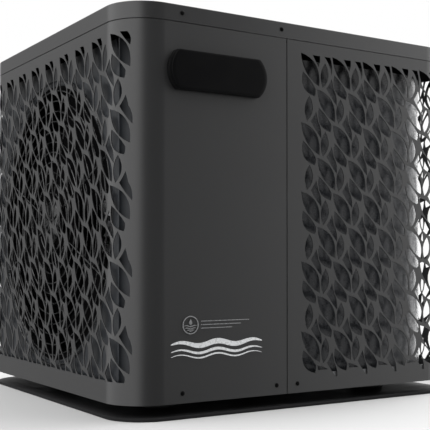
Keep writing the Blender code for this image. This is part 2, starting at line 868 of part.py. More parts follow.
def make_refrigerant_parts(mats):
    """Valves, drier and the pipes between compressor, exchanger and coil."""
    wide_bend, tight_bend = 0.015, 0.009
    gas, liquid = 0.0055, 0.004
    x, y = COMPRESSOR_X, COMPRESSOR_Y
    valve_start, valve_length, valve_radius = x + 0.055, 0.080, 0.013
    rod(
        "four_way_valve",
        (valve_start + valve_length / 2, y, VALVE_Z),
        "X",
        valve_radius,
        valve_length,
        mats["brass"],
    )
    discharge = [(x, y, COMPRESSOR_TOP + GAP), (x, y, VALVE_Z), (valve_start - GAP, y, VALVE_Z)]
    pipe("discharge_pipe", rounded_route(discharge, wide_bend), gas, mats["copper"])
    suction_top, suction_x = VALVE_Z + 0.035, valve_start + 0.040
    suction = [
        (ACCUMULATOR_X, y, ACCUMULATOR_TOP + GAP),
        (ACCUMULATOR_X, y, suction_top),
        (suction_x, y, suction_top),
        (suction_x, y, VALVE_Z + valve_radius + GAP),
    ]
    pipe("suction_pipe", rounded_route(suction, tight_bend), gas, mats["copper"])
    exchanger_side = PORT_X + EXCHANGER_RADIUS + GAP
    condenser_x, condenser_z = valve_start + 0.025, VALVE_Z - 0.040
    condenser = [
        (condenser_x, y, VALVE_Z - valve_radius - GAP),
        (condenser_x, y, condenser_z),
        (condenser_x, EXCHANGER_Y, condenser_z),
        (exchanger_side, EXCHANGER_Y, condenser_z),
    ]
    pipe("condenser_pipe", rounded_route(condenser, tight_bend), gas, mats["copper"])
    capsule("filter_drier", (DRIER_X, DRIER_Y), DRIER_RADIUS, DRIER_BOTTOM, DRIER_TOP, mats["copper"], 16)
    rod(
        "expansion_valve",
        (DRIER_X, DRIER_Y, (EXPANSION_LOW + EXPANSION_HIGH) / 2),
        "Z",
        EXPANSION_RADIUS,
        EXPANSION_HIGH - EXPANSION_LOW,
        mats["brass"],
        sides=16,
    )
    liquid_z = 0.060
    liquid_route = [
        (exchanger_side, EXCHANGER_Y, liquid_z),
        (DRIER_X, EXCHANGER_Y, liquid_z),
        (DRIER_X, DRIER_Y, liquid_z),
        (DRIER_X, DRIER_Y, DRIER_BOTTOM - GAP),
    ]
    pipe("liquid_pipe", rounded_route(liquid_route, wide_bend), liquid, mats["copper"])
    feed_low, feed_z = EXPANSION_HIGH + 0.0005, EXPANSION_HIGH + 0.0155
    feed_route = [
        (DRIER_X, DRIER_Y, feed_low),
        (DRIER_X, DRIER_Y, feed_z),
        (RIGHT_X - COIL_INSET - COIL_DEPTH - GAP, DRIER_Y, feed_z),
    ]
    pipe("evaporator_pipe", rounded_route(feed_route, tight_bend), liquid, mats["copper"])


def make_exchanger(mats):
    """A closed vessel that the pool water runs through, with the refrigerant's coiled tube inside."""
    low, high = 0.030, 0.370
    outer, inner, wall = EXCHANGER_RADIUS, EXCHANGER_RADIUS - EXCHANGER_WALL, EXCHANGER_WALL
    rounding = 0.008
    profile = [
        (0, high),
        (outer - rounding, high),
        (outer, high - rounding),
        (outer, low + rounding),
        (outer - rounding, low),
        (0, low),
    ]
    shell = turned("exchanger_shell", profile, (PORT_X, EXCHANGER_Y, 0), "Z", mats["pvc"], steps=24)
    water_space = rod(
        "water_space",
        (PORT_X, EXCHANGER_Y, (low + high) / 2),
        "Z",
        inner,
        high - low - 2 * wall,
        group=CUTTERS,
        sides=24,
    )
    boolean(shell, water_space)
    for z in (INLET_Z, OUTLET_Z):
        drill(shell, (PORT_X, EXCHANGER_Y + outer, z), "Y", PORT_BORE, wall * 8, sides=16)
    turns, per_turn, pitch, radius, first_z = 5, 12, 0.040, 0.040, 0.090
    helix = []
    for i in range(turns * per_turn + 1):
        angle = 2 * math.pi * i / per_turn
        helix.append(
            (
                PORT_X + radius * math.cos(angle),
                EXCHANGER_Y + radius * math.sin(angle),
                first_z + pitch * i / per_turn,
            )
        )
    tube_radius = 0.006
    pipe("exchanger_tube", helix, tube_radius, mats["titanium"])


def make_union(name, z, mats):
    """One water connection: a port through the rear panel, a tailpiece, and the nut that joins them."""
    rear = DEPTH / 2
    centre = (PORT_X, CASE_Y, z)
    start = EXCHANGER_Y - CASE_Y + EXCHANGER_RADIUS + 2 * GAP
    flange, flange_thickness, stub = 0.034, 0.004, 0.022
    port = [
        (PORT_BORE, rear + stub),
        (PORT_OUTER, rear + stub),
        (PORT_OUTER, rear + GAP + flange_thickness),
        (flange, rear + GAP + flange_thickness),
        (flange, rear + GAP),
        (PORT_OUTER, rear + GAP),
        (PORT_OUTER, start),
        (PORT_BORE, start),
    ]
    made = turned(f"{name}_port", port, centre, "Y", mats["pvc"], steps=24)
    collar_start = rear + stub + GAP
    collar, nut_wall = 0.004, 0.0055
    tail = [
        (PORT_BORE, rear + UNION_PROUD),
        (TAIL_OUTER, rear + UNION_PROUD),
        (TAIL_OUTER, collar_start + collar),
        (PORT_OUTER - GAP, collar_start + collar),
        (PORT_OUTER - GAP, collar_start),
        (PORT_BORE, collar_start),
    ]
    turned(f"{name}_tailpiece", tail, centre, "Y", mats["pvc"], steps=24)
    clearance = 2 * GAP
    nut_start = rear + flange_thickness + 2 * GAP
    wall_start = collar_start + collar + GAP
    nut_end = wall_start + nut_wall
    nut_outer, chamfer = 0.033, 0.0015
    nut = [
        (TAIL_OUTER + clearance, nut_end),
        (nut_outer - chamfer, nut_end),
        (nut_outer, nut_end - chamfer),
        (nut_outer, nut_start),
        (PORT_OUTER + clearance, nut_start),
        (PORT_OUTER + clearance, wall_start),
        (TAIL_OUTER + clearance, wall_start),
    ]
    turned(f"{name}_union_nut", nut, centre, "Y", mats["black_plastic"], steps=24)
    return made


def make_flow_switch(mats, port):
    """The switch in the top of the inlet port, with the paddle that the water pushes inwards."""
    stem_radius = 0.0065
    stem_low = INLET_Z + PORT_BORE - 0.0015
    stem_high = INLET_Z + PORT_OUTER + 0.030
    drill(port, (PORT_X, PADDLE_Y, INLET_Z + PORT_OUTER), "Z", stem_radius + GAP * 2, 0.030)
    rod(
        "flow_switch",
        (PORT_X, PADDLE_Y, (stem_low + stem_high) / 2),
        "Z",
        stem_radius,
        stem_high - stem_low,
        mats["black_plastic"],
        sides=16,
    )
    pivot_z, length, half_width, half_thickness = INLET_Z + 0.0138, 0.0238, 0.005, 0.0006
    paddle = block(
        "flow_paddle",
        (PORT_X - half_width, PADDLE_Y - half_thickness, pivot_z - length),
        (PORT_X + half_width, PADDLE_Y + half_thickness, pivot_z),
        mats["steel"],
    )
    pivot = Vector((PORT_X, PADDLE_Y, pivot_z))
    paddle.data.transform(Matrix.Translation(paddle.location - pivot))
    paddle.location = pivot


def make_electrics(mats, rear):
    """The control box behind the front panel, its lid and board, and the cable gland in the rear panel."""
    low = Vector((BOX_LEFT, FRONT_Y + BOX_BACK, BOX_BOTTOM))
    high = Vector((BOX_RIGHT, FRONT_Y + BOX_BACK + BOX_DEPTH, BOX_TOP))
    wall = 0.002
    box = block("electrical_box", low, high, mats["galvanised"])
    space = block(
        "box_space",
        low + Vector((wall, wall, wall)),
        high + Vector((-wall, wall, -wall)),
        group=CUTTERS,
    )
    boolean(box, space)
    block(
        "electrical_lid",
        (low.x, high.y + GAP, low.z),
        (high.x, high.y + GAP + wall, high.z),
        mats["galvanised"],
    )
    border, standoff, thickness = 0.006, 0.015, 0.0016
    block(
        "circuit_board",
        (low.x + wall + border, low.y + wall + standoff, low.z + wall + border),
        (high.x - wall - border, low.y + wall + standoff + thickness, high.z - wall - border),
        mats["board"],
    )
    bore, barrel, collar = 0.0045, 0.009, 0.0125
    outer_end, collar_end, inner_end, chamfer = 0.024, 0.010, -0.010, 0.002
    half = DEPTH / 2
    profile = [
        (bore, half + outer_end),
        (barrel - chamfer, half + outer_end),
        (barrel, half + outer_end - 2 * chamfer),
        (barrel, half + collar_end),
        (collar, half + collar_end),
        (collar, half + GAP),
        (barrel, half + GAP),
        (barrel, half + inner_end),
        (bore, half + inner_end),
    ]
    turned("cable_gland", profile, (GLAND_X, CASE_Y, GLAND_Z), "Y", mats["black_plastic"], steps=24)
    drill(rear, (GLAND_X, REAR_Y, GLAND_Z), "Y", barrel + GAP, SHEET * 4, sides=24)


def main():
    fresh_scene()
    mats = make_materials()
    rear = make_casing(mats)
    make_posts(mats)
    make_control(mats)
    make_emblem(mats)
    make_fan_deck(mats)
    make_fan(mats)
    make_motor(mats)
    make_coil(mats)
    make_compressor(mats)
    make_refrigerant_parts(mats)
    make_exchanger(mats)
    inlet_port = make_union("inlet", INLET_Z, mats)
    make_union("outlet", OUTLET_Z, mats)
    make_flow_switch(mats, inlet_port)
    make_electrics(mats, rear)


main()
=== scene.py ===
import json
from math import asin, cos, floor, pi, radians, sin

import bmesh
import bpy
from mathutils import Matrix, Vector
from mathutils.geometry import delaunay_2d_cdt


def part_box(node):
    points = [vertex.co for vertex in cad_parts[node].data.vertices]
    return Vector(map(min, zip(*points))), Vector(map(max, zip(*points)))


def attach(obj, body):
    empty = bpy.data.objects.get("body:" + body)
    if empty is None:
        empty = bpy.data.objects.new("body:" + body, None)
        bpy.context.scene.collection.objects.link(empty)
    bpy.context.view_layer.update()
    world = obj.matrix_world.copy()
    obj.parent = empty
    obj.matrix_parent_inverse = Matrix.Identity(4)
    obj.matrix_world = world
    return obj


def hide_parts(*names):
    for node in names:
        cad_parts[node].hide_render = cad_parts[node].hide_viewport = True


# The looks of a compact pool heat pump: a powder-coated casing cut with a pattern of leaves, over its coil,
# fan and water unions. Sizes are in metres, and every place comes from the frame's own nodes.

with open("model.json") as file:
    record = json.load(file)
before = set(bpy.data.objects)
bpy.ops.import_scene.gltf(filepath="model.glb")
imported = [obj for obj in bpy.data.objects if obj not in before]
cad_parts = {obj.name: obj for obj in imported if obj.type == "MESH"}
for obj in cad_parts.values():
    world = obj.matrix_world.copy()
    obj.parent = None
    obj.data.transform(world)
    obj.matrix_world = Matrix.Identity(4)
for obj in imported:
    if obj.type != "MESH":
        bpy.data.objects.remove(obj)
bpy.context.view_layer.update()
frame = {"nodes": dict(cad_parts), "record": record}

# ---- measures of the frame
left_low, left_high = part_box("left_wrap_panel")
right_low, right_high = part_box("right_wrap_panel")
cover_low, cover_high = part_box("top_cover")
LEFT, RIGHT = left_low.x, right_high.x
FRONT, REAR = left_low.y, left_high.y
BOTTOM, TOP = left_low.z, cover_high.z
COVER_SEAM = 0.0010
PANEL_TOP = cover_low.z - COVER_SEAM
CORNER = 0.050
SHEET = 0.0015
LEAF_SHEET = 0.0009
GAP = 0.0003

# Lengths along the casing's skin grow to the right, seen from outside, from 0 at the left end of the flat front.
FLAT_X = RIGHT - LEFT - 2 * CORNER
FLAT_Y = REAR - FRONT - 2 * CORNER
FLATS = (FLAT_X, FLAT_Y, FLAT_X, FLAT_Y)
ARC = CORNER * pi / 2
AROUND = sum(FLATS) + 4 * ARC
BEND_STEPS = 16
TINY = 1e-6


def skin_point(along, inset=0.0):
    """A point of the casing's skin in plan, moved inwards by inset, and the skin's outward normal there."""
    along %= AROUND
    if AROUND - along < TINY:
        along = 0.0
    start = Vector((LEFT + CORNER, FRONT))
    heading = Vector((1.0, 0.0))
    for flat in FLATS:
        normal = Vector((heading.y, -heading.x))
        if along <= flat:
            return start + heading * along - normal * inset, normal
        along -= flat
        start += heading * flat
        centre = start - normal * CORNER
        if along <= ARC:
            turn = Matrix.Rotation(along / CORNER, 2) @ normal
            return centre + turn * (CORNER - inset), turn
        along -= ARC
        heading = Vector((-heading.y, heading.x))
        start = centre + Vector((heading.y, -heading.x)) * CORNER
    return start, normal


def skin_at(along, inset, z):
    return Vector((*skin_point(along, inset)[0], z))


def corner_stops():
    """The places of one lap where the sheet bends, in small steps, to follow the corners."""
    stops, start = [], 0.0
    for flat in FLATS:
        start += flat
        stops += [start + ARC * i / BEND_STEPS for i in range(BEND_STEPS + 1)]
        start += ARC
    return stops


def bend_lines(start, finish):
    """The bends between start and finish, which may lie left of 0."""
    lines = [stop + lap for lap in (-AROUND, 0.0) for stop in corner_stops()]
    return [line for line in lines if start < line < finish]


# ---- camera, light and floor
def placed(name, data):
    """A new object in the scene."""
    made = bpy.data.objects.new(name, data)
    bpy.context.scene.collection.objects.link(made)
    return made


def mesh_of(bm, name):
    mesh = bpy.data.meshes.new(name)
    bm.to_mesh(mesh)
    bm.free()
    return mesh


def make_camera():
    """The photograph's viewing angle. The small shift only frames the unit as the photograph does."""
    tilt, heading = 1.218, -33.014
    to_left, to_front, above = 0.4528, 0.9321, 0.1609
    data = bpy.data.cameras.new("camera")
    data.lens, data.sensor_width = 79.0, 36.0
    data.shift_x, data.shift_y = -0.064, 0.060
    camera = placed("camera", data)
    camera.location = (LEFT - to_left, FRONT - to_front, BOTTOM + above)
    camera.rotation_euler = (radians(90 + tilt), 0, radians(heading))
    bpy.context.scene.camera = camera


def add_node(tree, kind, inputs=None, **settings):
    """A new node. Each input given is a value, or the output of another node that feeds it."""
    made = tree.nodes.new(f"ShaderNode{kind}")
    for name, value in settings.items():
        setattr(made, name, value)
    for key, value in (inputs or {}).items():
        if isinstance(value, bpy.types.NodeSocket):
            tree.links.new(value, made.inputs[key])
        else:
            made.inputs[key].default_value = value
    return made


def mapped(tree, value, low, high, to_low=0.0, to_high=1.0, kind="LINEAR"):
    """A value carried from one range to another, and held at both ends."""
    inputs = {"Value": value, "From Min": low, "From Max": high, "To Min": to_low, "To Max": to_high}
    return add_node(tree, "MapRange", inputs, interpolation_type=kind).outputs["Result"]


# Each soft upright card of light: its compass direction, how many degrees to each side of it the card is full
# and where it has faded out, and its strength.
CARDS = (
    ((-1.0, 0.02), 38, 66, 2.15),
    ((-0.19, 0.98), 10, 40, 0.30),
    ((0.77, 0.64), 30, 62, 1.30),
    ((1.0, -0.10), 30, 58, 2.03),
    ((1.0, 0.12), 14, 40, 1.60),
)
DIM = 0.10
# How the light changes with height, where straight up is 1: from and to which height, and at which strengths
CARD_RISE = (-0.3, 0.4, 0.70, 1.30)
CEILING = (0.35, 0.85, 0.0, 1.35)


def add_card(tree, compass, level, towards, full, gone, strength):
    """Adds one card to the level of light from every direction."""
    centre = Vector((*towards, 0.0)).normalized()
    facing = add_node(tree, "VectorMath", {0: compass, 1: centre}, operation="DOT_PRODUCT")
    edge, inside = cos(radians(gone)), cos(radians(full))
    glow = mapped(tree, facing.outputs["Value"], edge, inside, 0.0, strength, "SMOOTHSTEP")
    return add_node(tree, "Math", {0: level, 1: glow}).outputs[0]


def make_world():
    """A white studio: plain white where it is seen, and cards and a bright ceiling where it lights."""
    world = bpy.data.worlds.new("studio")
    bpy.context.scene.world = world
    world.use_nodes = True
    tree = world.node_tree
    tree.nodes.clear()
    around = add_node(tree, "TexCoord").outputs["Generated"]
    flat = add_node(tree, "VectorMath", {0: around, 1: (1, 1, 0)}, operation="MULTIPLY")
    compass = add_node(tree, "VectorMath", {0: flat.outputs["Vector"]}, operation="NORMALIZE")
    level = DIM
    for card in CARDS:
        level = add_card(tree, compass.outputs["Vector"], level, *card)
    height = add_node(tree, "SeparateXYZ", {0: around}).outputs["Z"]
    rise = mapped(tree, height, *CARD_RISE)
    graded = add_node(tree, "Math", {0: level, 1: rise}, operation="MULTIPLY")
    ceiling = mapped(tree, height, *CEILING, "SMOOTHSTEP")
    total = add_node(tree, "Math", {0: graded.outputs[0], 1: ceiling})
    light = add_node(tree, "Background", {"Strength": total.outputs[0]}).outputs[0]
    seen = add_node(tree, "Background", {"Color": (1, 1, 1, 1)}).outputs[0]
    is_seen = add_node(tree, "LightPath").outputs["Is Camera Ray"]
    either = add_node(tree, "MixShader", {0: is_seen, 1: light, 2: seen})
    add_node(tree, "OutputWorld", {"Surface": either.outputs[0]})


def make_floor():
    """A pale round floor that fades into the white of the studio away from the unit."""
    reach, fade_start, fade_end = 2.2, 0.45, 1.5
    bm = bmesh.new()
    bmesh.ops.create_circle(bm, cap_ends=True, segments=96, radius=reach)
    floor_object = placed("floor", mesh_of(bm, "floor"))
    floor_object.visible_glossy = False
    paint = Recipe("floor_white", (0.42, 0.42, 0.42), 0.9, shine=0.0)
    distance = paint.node("VectorMath", {0: paint.place}, operation="LENGTH").outputs["Value"]
    fade = mapped(paint.tree, distance, fade_start, fade_end, kind="SMOOTHSTEP")
    white = paint.node("Emission")
    mix = paint.node("MixShader", {0: fade, 1: paint.shader.outputs[0], 2: white.outputs[0]})
    paint.tree.links.new(mix.outputs[0], paint.tree.nodes["Material Output"].inputs["Surface"])
    floor_object.data.materials.append(paint.material)


# ---- materials
class Recipe:
    """A material being made: a Principled shader whose colour, gloss and relief come from small patterns."""

    def __init__(self, name, colour, roughness, metallic=0.0, shine=0.5):
        self.material = bpy.data.materials.new(name)
        self.material.use_nodes = True
        self.tree = self.material.node_tree
        self.shader = self.tree.nodes["Principled BSDF"]
        self.roughness = roughness
        self.shader.inputs["Base Color"].default_value = (*colour, 1.0)
        self.shader.inputs["Roughness"].default_value = roughness
        self.shader.inputs["Metallic"].default_value = metallic
        self.shader.inputs["Specular IOR Level"].default_value = shine
        self.place = self.node("TexCoord").outputs["Object"]

    def node(self, kind, inputs=None, **settings):
        return add_node(self.tree, kind, inputs, **settings)

    def noise(self, scale, detail=3.0, stretch=(1, 1, 1)):
        place = self.node("Mapping", {"Vector": self.place, "Scale": stretch}).outputs["Vector"]
        inputs = {"Vector": place, "Scale": scale, "Detail": detail}
        return self.node("TexNoise", inputs).outputs["Fac"]

    def cells(self, scale, output="Distance"):
        return self.node("TexVoronoi", {"Vector": self.place, "Scale": scale}).outputs[output]

    def axis(self, name):
        """The place along one axis of the frame."""
        return self.node("SeparateXYZ", {0: self.place}).outputs[name]

    def tint(self, pattern, low, high, share, other):
        """Mixes another colour in: none of it where the pattern is at low, and share of it at high."""
        socket = self.shader.inputs["Base Color"]
        before = socket.links[0].from_socket if socket.is_linked else tuple(socket.default_value)
        factor = mapped(self.tree, pattern, low, high, 0.0, share)
        inputs = {"A": before, "B": (*other, 1.0), "Factor": factor}
        mix = self.node("Mix", inputs, data_type="RGBA")
        self.tree.links.new(mix.outputs["Result"], socket)

    def finished(self, wander, spread, grain, depth, strength):
        """The material, with gloss that wanders by spread either way and relief of a depth in metres."""
        rough = mapped(self.tree, wander, 0.3, 0.7, self.roughness - spread, self.roughness + spread)
        self.tree.links.new(rough, self.shader.inputs["Roughness"])
        relief = self.node("Bump", {"Height": grain, "Distance": depth, "Strength": strength})
        self.tree.links.new(relief.outputs["Normal"], self.shader.inputs["Normal"])
        return self.material


def powder_coat():
    made = Recipe("casing_powder_coat", (0.0185, 0.0186, 0.019), 0.28)
    made.tint(made.noise(7, 1.0), 0.3, 0.8, 1.0, (0.0200, 0.0201, 0.0205))
    made.tint(made.noise(1200, 2.0), 0.45, 0.75, 0.5, (0.028, 0.028, 0.0285))
    return made.finished(made.noise(40, 1.0), 0.006, made.noise(1500, 2.0), 0.00001, 0.12)


def deck_paint():
    """Thin dark paint on the fan's sheet, with a painted highlight where the sheet folds back along the casing
    and painted shade towards the top, under the lid.
    """
    low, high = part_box("fan_deck")
    made = Recipe("fan_deck_paint", (0.013, 0.0148, 0.0175), 0.40, shine=0.27)
    streaks = made.noise(16, 4.0, (1, 6, 1.2))
    made.tint(streaks, 0.35, 0.7, 0.6, (0.0175, 0.0195, 0.023))
    # Painted highlight: the folded-back flanges are made much lighter, standing in for the light that falls on
    # them through the leaves.
    made.tint(made.axis("X"), low.x + 0.0025, low.x + 0.012, 0.9, (0.125, 0.130, 0.138))
    # Painted shade: darker towards the top, under the lid.
    made.tint(made.axis("Z"), high.z - 0.035, high.z, 0.85, (0.004, 0.004, 0.0045))
    return made.finished(streaks, 0.05, made.noise(900, 2.0), 0.00003, 0.4)


def galvanised():
    made = Recipe("galvanised_sheet", (0.11, 0.112, 0.115), 0.45, 0.8)
    spangle = made.node("RGBToBW", {0: made.cells(70, "Color")}).outputs[0]
    made.tint(spangle, 0.2, 0.8, 0.6, (0.17, 0.173, 0.177))
    return made.finished(made.noise(50), 0.08, made.noise(300), 0.00002, 0.3)


def moulded_plastic(name, colour, roughness, wear, shine=0.5):
    made = Recipe(name, colour, roughness, shine=shine)
    made.tint(made.noise(26, 5.0), 0.45, 0.8, 0.7, wear)
    return made.finished(made.noise(90, 4.0), 0.06, made.noise(1100, 3.0), 0.00004, 0.5)


def gloss_black():
    made = Recipe("touch_face_black", (0.0035, 0.0035, 0.0037), 0.22, shine=0.06)
    made.tint(made.noise(700, 2.0), 0.62, 0.75, 0.3, (0.010, 0.010, 0.0105))
    return made.finished(made.noise(40, 5.0), 0.05, made.noise(14, 2.0), 0.00002, 0.3)


def base_black():
    made = Recipe("base_plate_black", (0.0160, 0.0160, 0.0165), 0.5, shine=0.012)
    made.tint(made.noise(220, 4.0), 0.5, 0.8, 0.6, (0.0200, 0.0200, 0.0205))
    return made.finished(made.noise(30, 5.0), 0.06, made.noise(700, 2.0), 0.00003, 0.35)


def rubber():
    made = Recipe("black_rubber_feet", (0.014, 0.014, 0.014), 0.78)
    made.tint(made.noise(120, 5.0), 0.5, 0.8, 1.0, (0.030, 0.029, 0.028))
    return made.finished(made.noise(200), 0.07, made.noise(1600, 3.0), 0.00006, 0.6)


def coil_fins():
    """Dark coated fins, with a painted highlight round the bend and painted shade under the lid."""
    low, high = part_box("evaporator_coil")
    made = Recipe("coil_fins_coated", (0.015, 0.0160, 0.0185), 0.27)
    made.tint(made.noise(30, 2.0, (1, 1, 0.15)), 0.35, 0.7, 0.5, (0.018, 0.0195, 0.0225))
    # Painted highlight: lighter round the bend, where light from the right side falls on the fins.
    made.tint(made.axis("X"), high.x - 0.115, high.x - 0.025, 0.8, (0.15, 0.153, 0.158))
    # Further back along the side the colour goes back to dark, so the painted highlight stays on the bend.
    made.tint(made.axis("Y"), low.y + 0.045, low.y + 0.085, 1.0, (0.017, 0.018, 0.021))
    # Painted shade: nearly black at the top, under the lid.
    made.tint(made.axis("Z"), high.z - 0.035, high.z - 0.004, 0.9, (0.0015, 0.0015, 0.0018))
    return made.finished(made.noise(120, 3.0), 0.015, made.noise(400, 2.0, (1, 1, 0.2)), 0.00002, 0.2)


def metal(name, colour, roughness, tarnish, grain=(1, 1, 1)):
    made = Recipe(name, colour, roughness, 1.0)
    made.tint(made.noise(35, 5.0), 0.45, 0.75, 0.6, tarnish)
    return made.finished(made.noise(260, 3.0, grain), 0.09, made.noise(600, 2.0, grain), 0.00002, 0.3)


def board_green():
    made = Recipe("circuit_board_green", (0.015, 0.12, 0.05), 0.35)
    upright = made.node("Mapping", {"Vector": made.place, "Rotation": (pi / 2, 0, 0)})
    inputs = {"Vector": upright.outputs["Vector"], "Scale": 60, "Mortar Size": 0.035}
    tracks = made.node("TexBrick", inputs).outputs["Fac"]
    made.tint(tracks, 0.0, 1.0, 1.0, (0.05, 0.30, 0.12))
    made.tint(made.cells(160), 0.16, 0.0, 1.0, (0.55, 0.50, 0.35))
    return made.finished(made.noise(80), 0.05, tracks, 0.00005, 0.5)


def badge(name, colour, lighter):
    made = Recipe(name, colour, 0.28, 0.25)
    made.tint(made.noise(300, 3.0, (1, 1, 12)), 0.4, 0.7, 0.5, lighter)
    return made.finished(made.noise(200), 0.05, made.noise(900, 2.0), 0.00002, 0.3)


# Each moulded or coated look: the material's name, colour, roughness, worn colour, and shine if it isn't 0.5.
PLASTICS = {
    "black_plastic": ("black_moulded", (0.0095, 0.0095, 0.010), 0.38, (0.018, 0.018, 0.019)),
    "black_steel": ("black_coated_wire", (0.008, 0.008, 0.009), 0.30, (0.016, 0.016, 0.017)),
    "black_screw": ("screw_blackened", (0.0012, 0.0012, 0.0013), 0.42, (0.003, 0.003, 0.003), 0.05),
    "fan_black": ("fan_black", (0.0020, 0.0020, 0.0022), 0.6, (0.003, 0.003, 0.0033), 0.015),
    "foam": ("black_foam", (0.0018, 0.0018, 0.0019), 0.9, (0.003, 0.003, 0.003), 0.02),
    "guard_wire": ("guard_wire_coat", (0.010, 0.0105, 0.011), 0.28, (0.016, 0.0165, 0.017)),
    "black_housing": ("control_black", (0.0045, 0.0045, 0.0047), 0.35, (0.008, 0.008, 0.008), 0.06),
    "black_enamel": ("vessel_enamel", (0.014, 0.014, 0.015), 0.26, (0.024, 0.024, 0.025)),
    "grey_pvc": ("pvc_grey", (0.13, 0.14, 0.15), 0.36, (0.17, 0.18, 0.19)),
}
# Each metal look: the material's name, colour, roughness, tarnished colour, and how its grain is stretched.
METALS = {
    "copper_pipe": ("copper_drawn", (0.62, 0.27, 0.15), 0.28, (0.36, 0.16, 0.10)),
    "brass_fitting": ("brass_machined", (0.60, 0.43, 0.19), 0.28, (0.40, 0.29, 0.14)),
    "bright_steel": ("steel_plated", (0.50, 0.50, 0.51), 0.30, (0.36, 0.36, 0.37), (1, 8, 8)),
    "titanium_tube": ("titanium_drawn", (0.38, 0.37, 0.36), 0.32, (0.30, 0.28, 0.29)),
}


def make_materials():
    made = {look: moulded_plastic(*numbers) for look, numbers in PLASTICS.items()}
    made.update({look: metal(*numbers) for look, numbers in METALS.items()})
    made.update(
        casing_paint=powder_coat(),
        deck_paint=deck_paint(),
        galvanised_steel=galvanised(),
        gloss_black=gloss_black(),
        base_black=base_black(),
        black_rubber=rubber(),
        coil_fins=coil_fins(),
        circuit_board=board_green(),
        light_badge=badge("badge_silver", (0.60, 0.61, 0.62), (0.72, 0.73, 0.74)),
        grey_badge=badge("badge_grey", (0.17, 0.172, 0.175), (0.21, 0.212, 0.215)),
    )
    return made


# ---- making pieces
def piece(mesh, look, stands_for=(), body="casing"):
    """Puts a mesh in the scene as a piece of its name that rides on a body, in place of CAD nodes."""
    mesh.materials.clear()
    mesh.materials.append(looks[look])
    made = placed(mesh.name, mesh)
    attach(made, body)
    if stands_for:
        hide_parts(*stands_for)
    return made


def mesh_from(bm, name, sharp=35):
    """A smooth-shaded mesh, with an edge where faces meet at more than sharp degrees."""
    bmesh.ops.recalc_face_normals(bm, faces=bm.faces)
    mesh = mesh_of(bm, name)
    mesh.shade_smooth()
    mesh.set_sharp_from_angle(angle=radians(sharp))
    return mesh


def add_loft(bm, loops, closed=False):
    """Joins loops of points into one skin. Its last loop joins its first if closed, or else both get caps."""
    rows = [[bm.verts.new(point) for point in loop] for loop in loops]
    pairs = list(zip(rows, rows[1:]))
    if closed:
        pairs.append((rows[-1], rows[0]))
    for below, above in pairs:
        for i in range(len(below)):
            bm.faces.new((below[i - 1], below[i], above[i], above[i - 1]))
    if not closed:
        bm.faces.new(rows[0])
        bm.faces.new(rows[-1])


def lofted(name, loops, sharp=35):
    bm = bmesh.new()
    add_loft(bm, loops)
    return mesh_from(bm, name, sharp)


def rounded(points, radius, steps=4, closed=True):
    """An outline of (a, b) points with its corners rounded, each by no more than its own sides allow."""
    points = [Vector(point) for point in points]
    most, made = 0.45, []
    for i, corner in enumerate(points):
        if not closed and i in (0, len(points) - 1):
            made.append(corner)
            continue
        back = points[i - 1] - corner
        ahead = points[(i + 1) % len(points)] - corner
        reach = min(radius, back.length * most, ahead.length * most)
        first = corner + back.normalized() * reach
        last = corner + ahead.normalized() * reach
        for j in range(steps + 1):
            share = j / steps
            made.append(first * (1 - share) ** 2 + corner * 2 * share * (1 - share) + last * share**2)
    return made


def angles(steps, offset=0.0):
    """Even steps round a full turn."""
    return [2 * pi * (i + offset) / steps for i in range(steps)]


AXES = {
    "X": (Vector((0, 1, 0)), Vector((0, 0, 1)), Vector((1, 0, 0))),
    "Y": (Vector((0, 0, 1)), Vector((1, 0, 0)), Vector((0, 1, 0))),
    "Z": (Vector((1, 0, 0)), Vector((0, 1, 0)), Vector((0, 0, 1))),
}


def add_turned(bm, profile, centre, axis="Z", steps=48, hollow=False):
    """Turns a profile of (radius, height) about an axis through centre. A solid one starts and ends on it.

    A third item is a function of (radius, angle) that gives the radius at each angle.
    """
    across, up, along = AXES[axis]
    loops = []
    for radius, height, *shape in profile:
        if hollow or radius > 0:
            loop = []
            for angle in angles(steps):
                reach = shape[0](radius, angle) if shape else radius
                loop.append(Vector(centre) + along * height + (across * cos(angle) + up * sin(angle)) * reach)
            loops.append(loop)
    add_loft(bm, loops, closed=hollow)


def turned(name, profile, centre, axis="Z", steps=48, hollow=False, edge=0.0, sharp=35):
    if edge:
        profile = rounded(profile, edge, 3, closed=hollow)
    bm = bmesh.new()
    add_turned(bm, profile, centre, axis, steps, hollow)
    return mesh_from(bm, name, sharp)


def add_wire(bm, route, radius, sides=6, closed=True):
    """A round wire along a route of points, in a plane across X."""
    loops, turns = [], angles(sides)
    for i, point in enumerate(route):
        before = route[i - 1] if closed or i else point
        after = route[(i + 1) % len(route)] if closed or i < len(route) - 1 else point
        along = (after - before).normalized()
        across = along.cross(Vector((1, 0, 0))).normalized()
        up = along.cross(across)
        loops.append([point + (across * cos(turn) + up * sin(turn)) * radius for turn in turns])
    add_loft(bm, loops, closed=closed)


# ---- the leaf pattern
# Four leaves repeat along each row, and every other row is moved by half a pitch. They are drawn in
# millimetres, then squeezed a little along the skin. The first row is measured down from the lid's top.
LEAF_PITCH = 0.04945
ROW_PITCH = 0.0429
ROWS = 9
FIRST_ROW = 0.0351
LEAF_SQUEEZE = 0.9824
MILLIMETRE = 0.001
# How far below the lid's top the leaves may reach: on the sides, on the front, and in the last, partial row
SIDE_LOWEST = 0.427
FRONT_LOWEST = 0.4360
LAST_TIPS = 0.4264
# Along the skin: how far leaves go round a side's corners, and a leaf's tip on the front and on the left
REACH_ROUND_CORNER = 0.0415
FRONT_LEAVES_START = 0.1895
FIRST_LEAF_CLEARANCE = 0.0025
LEFT_LEAVES_TIP = -0.1180
REAR_SEAM = 0.0013


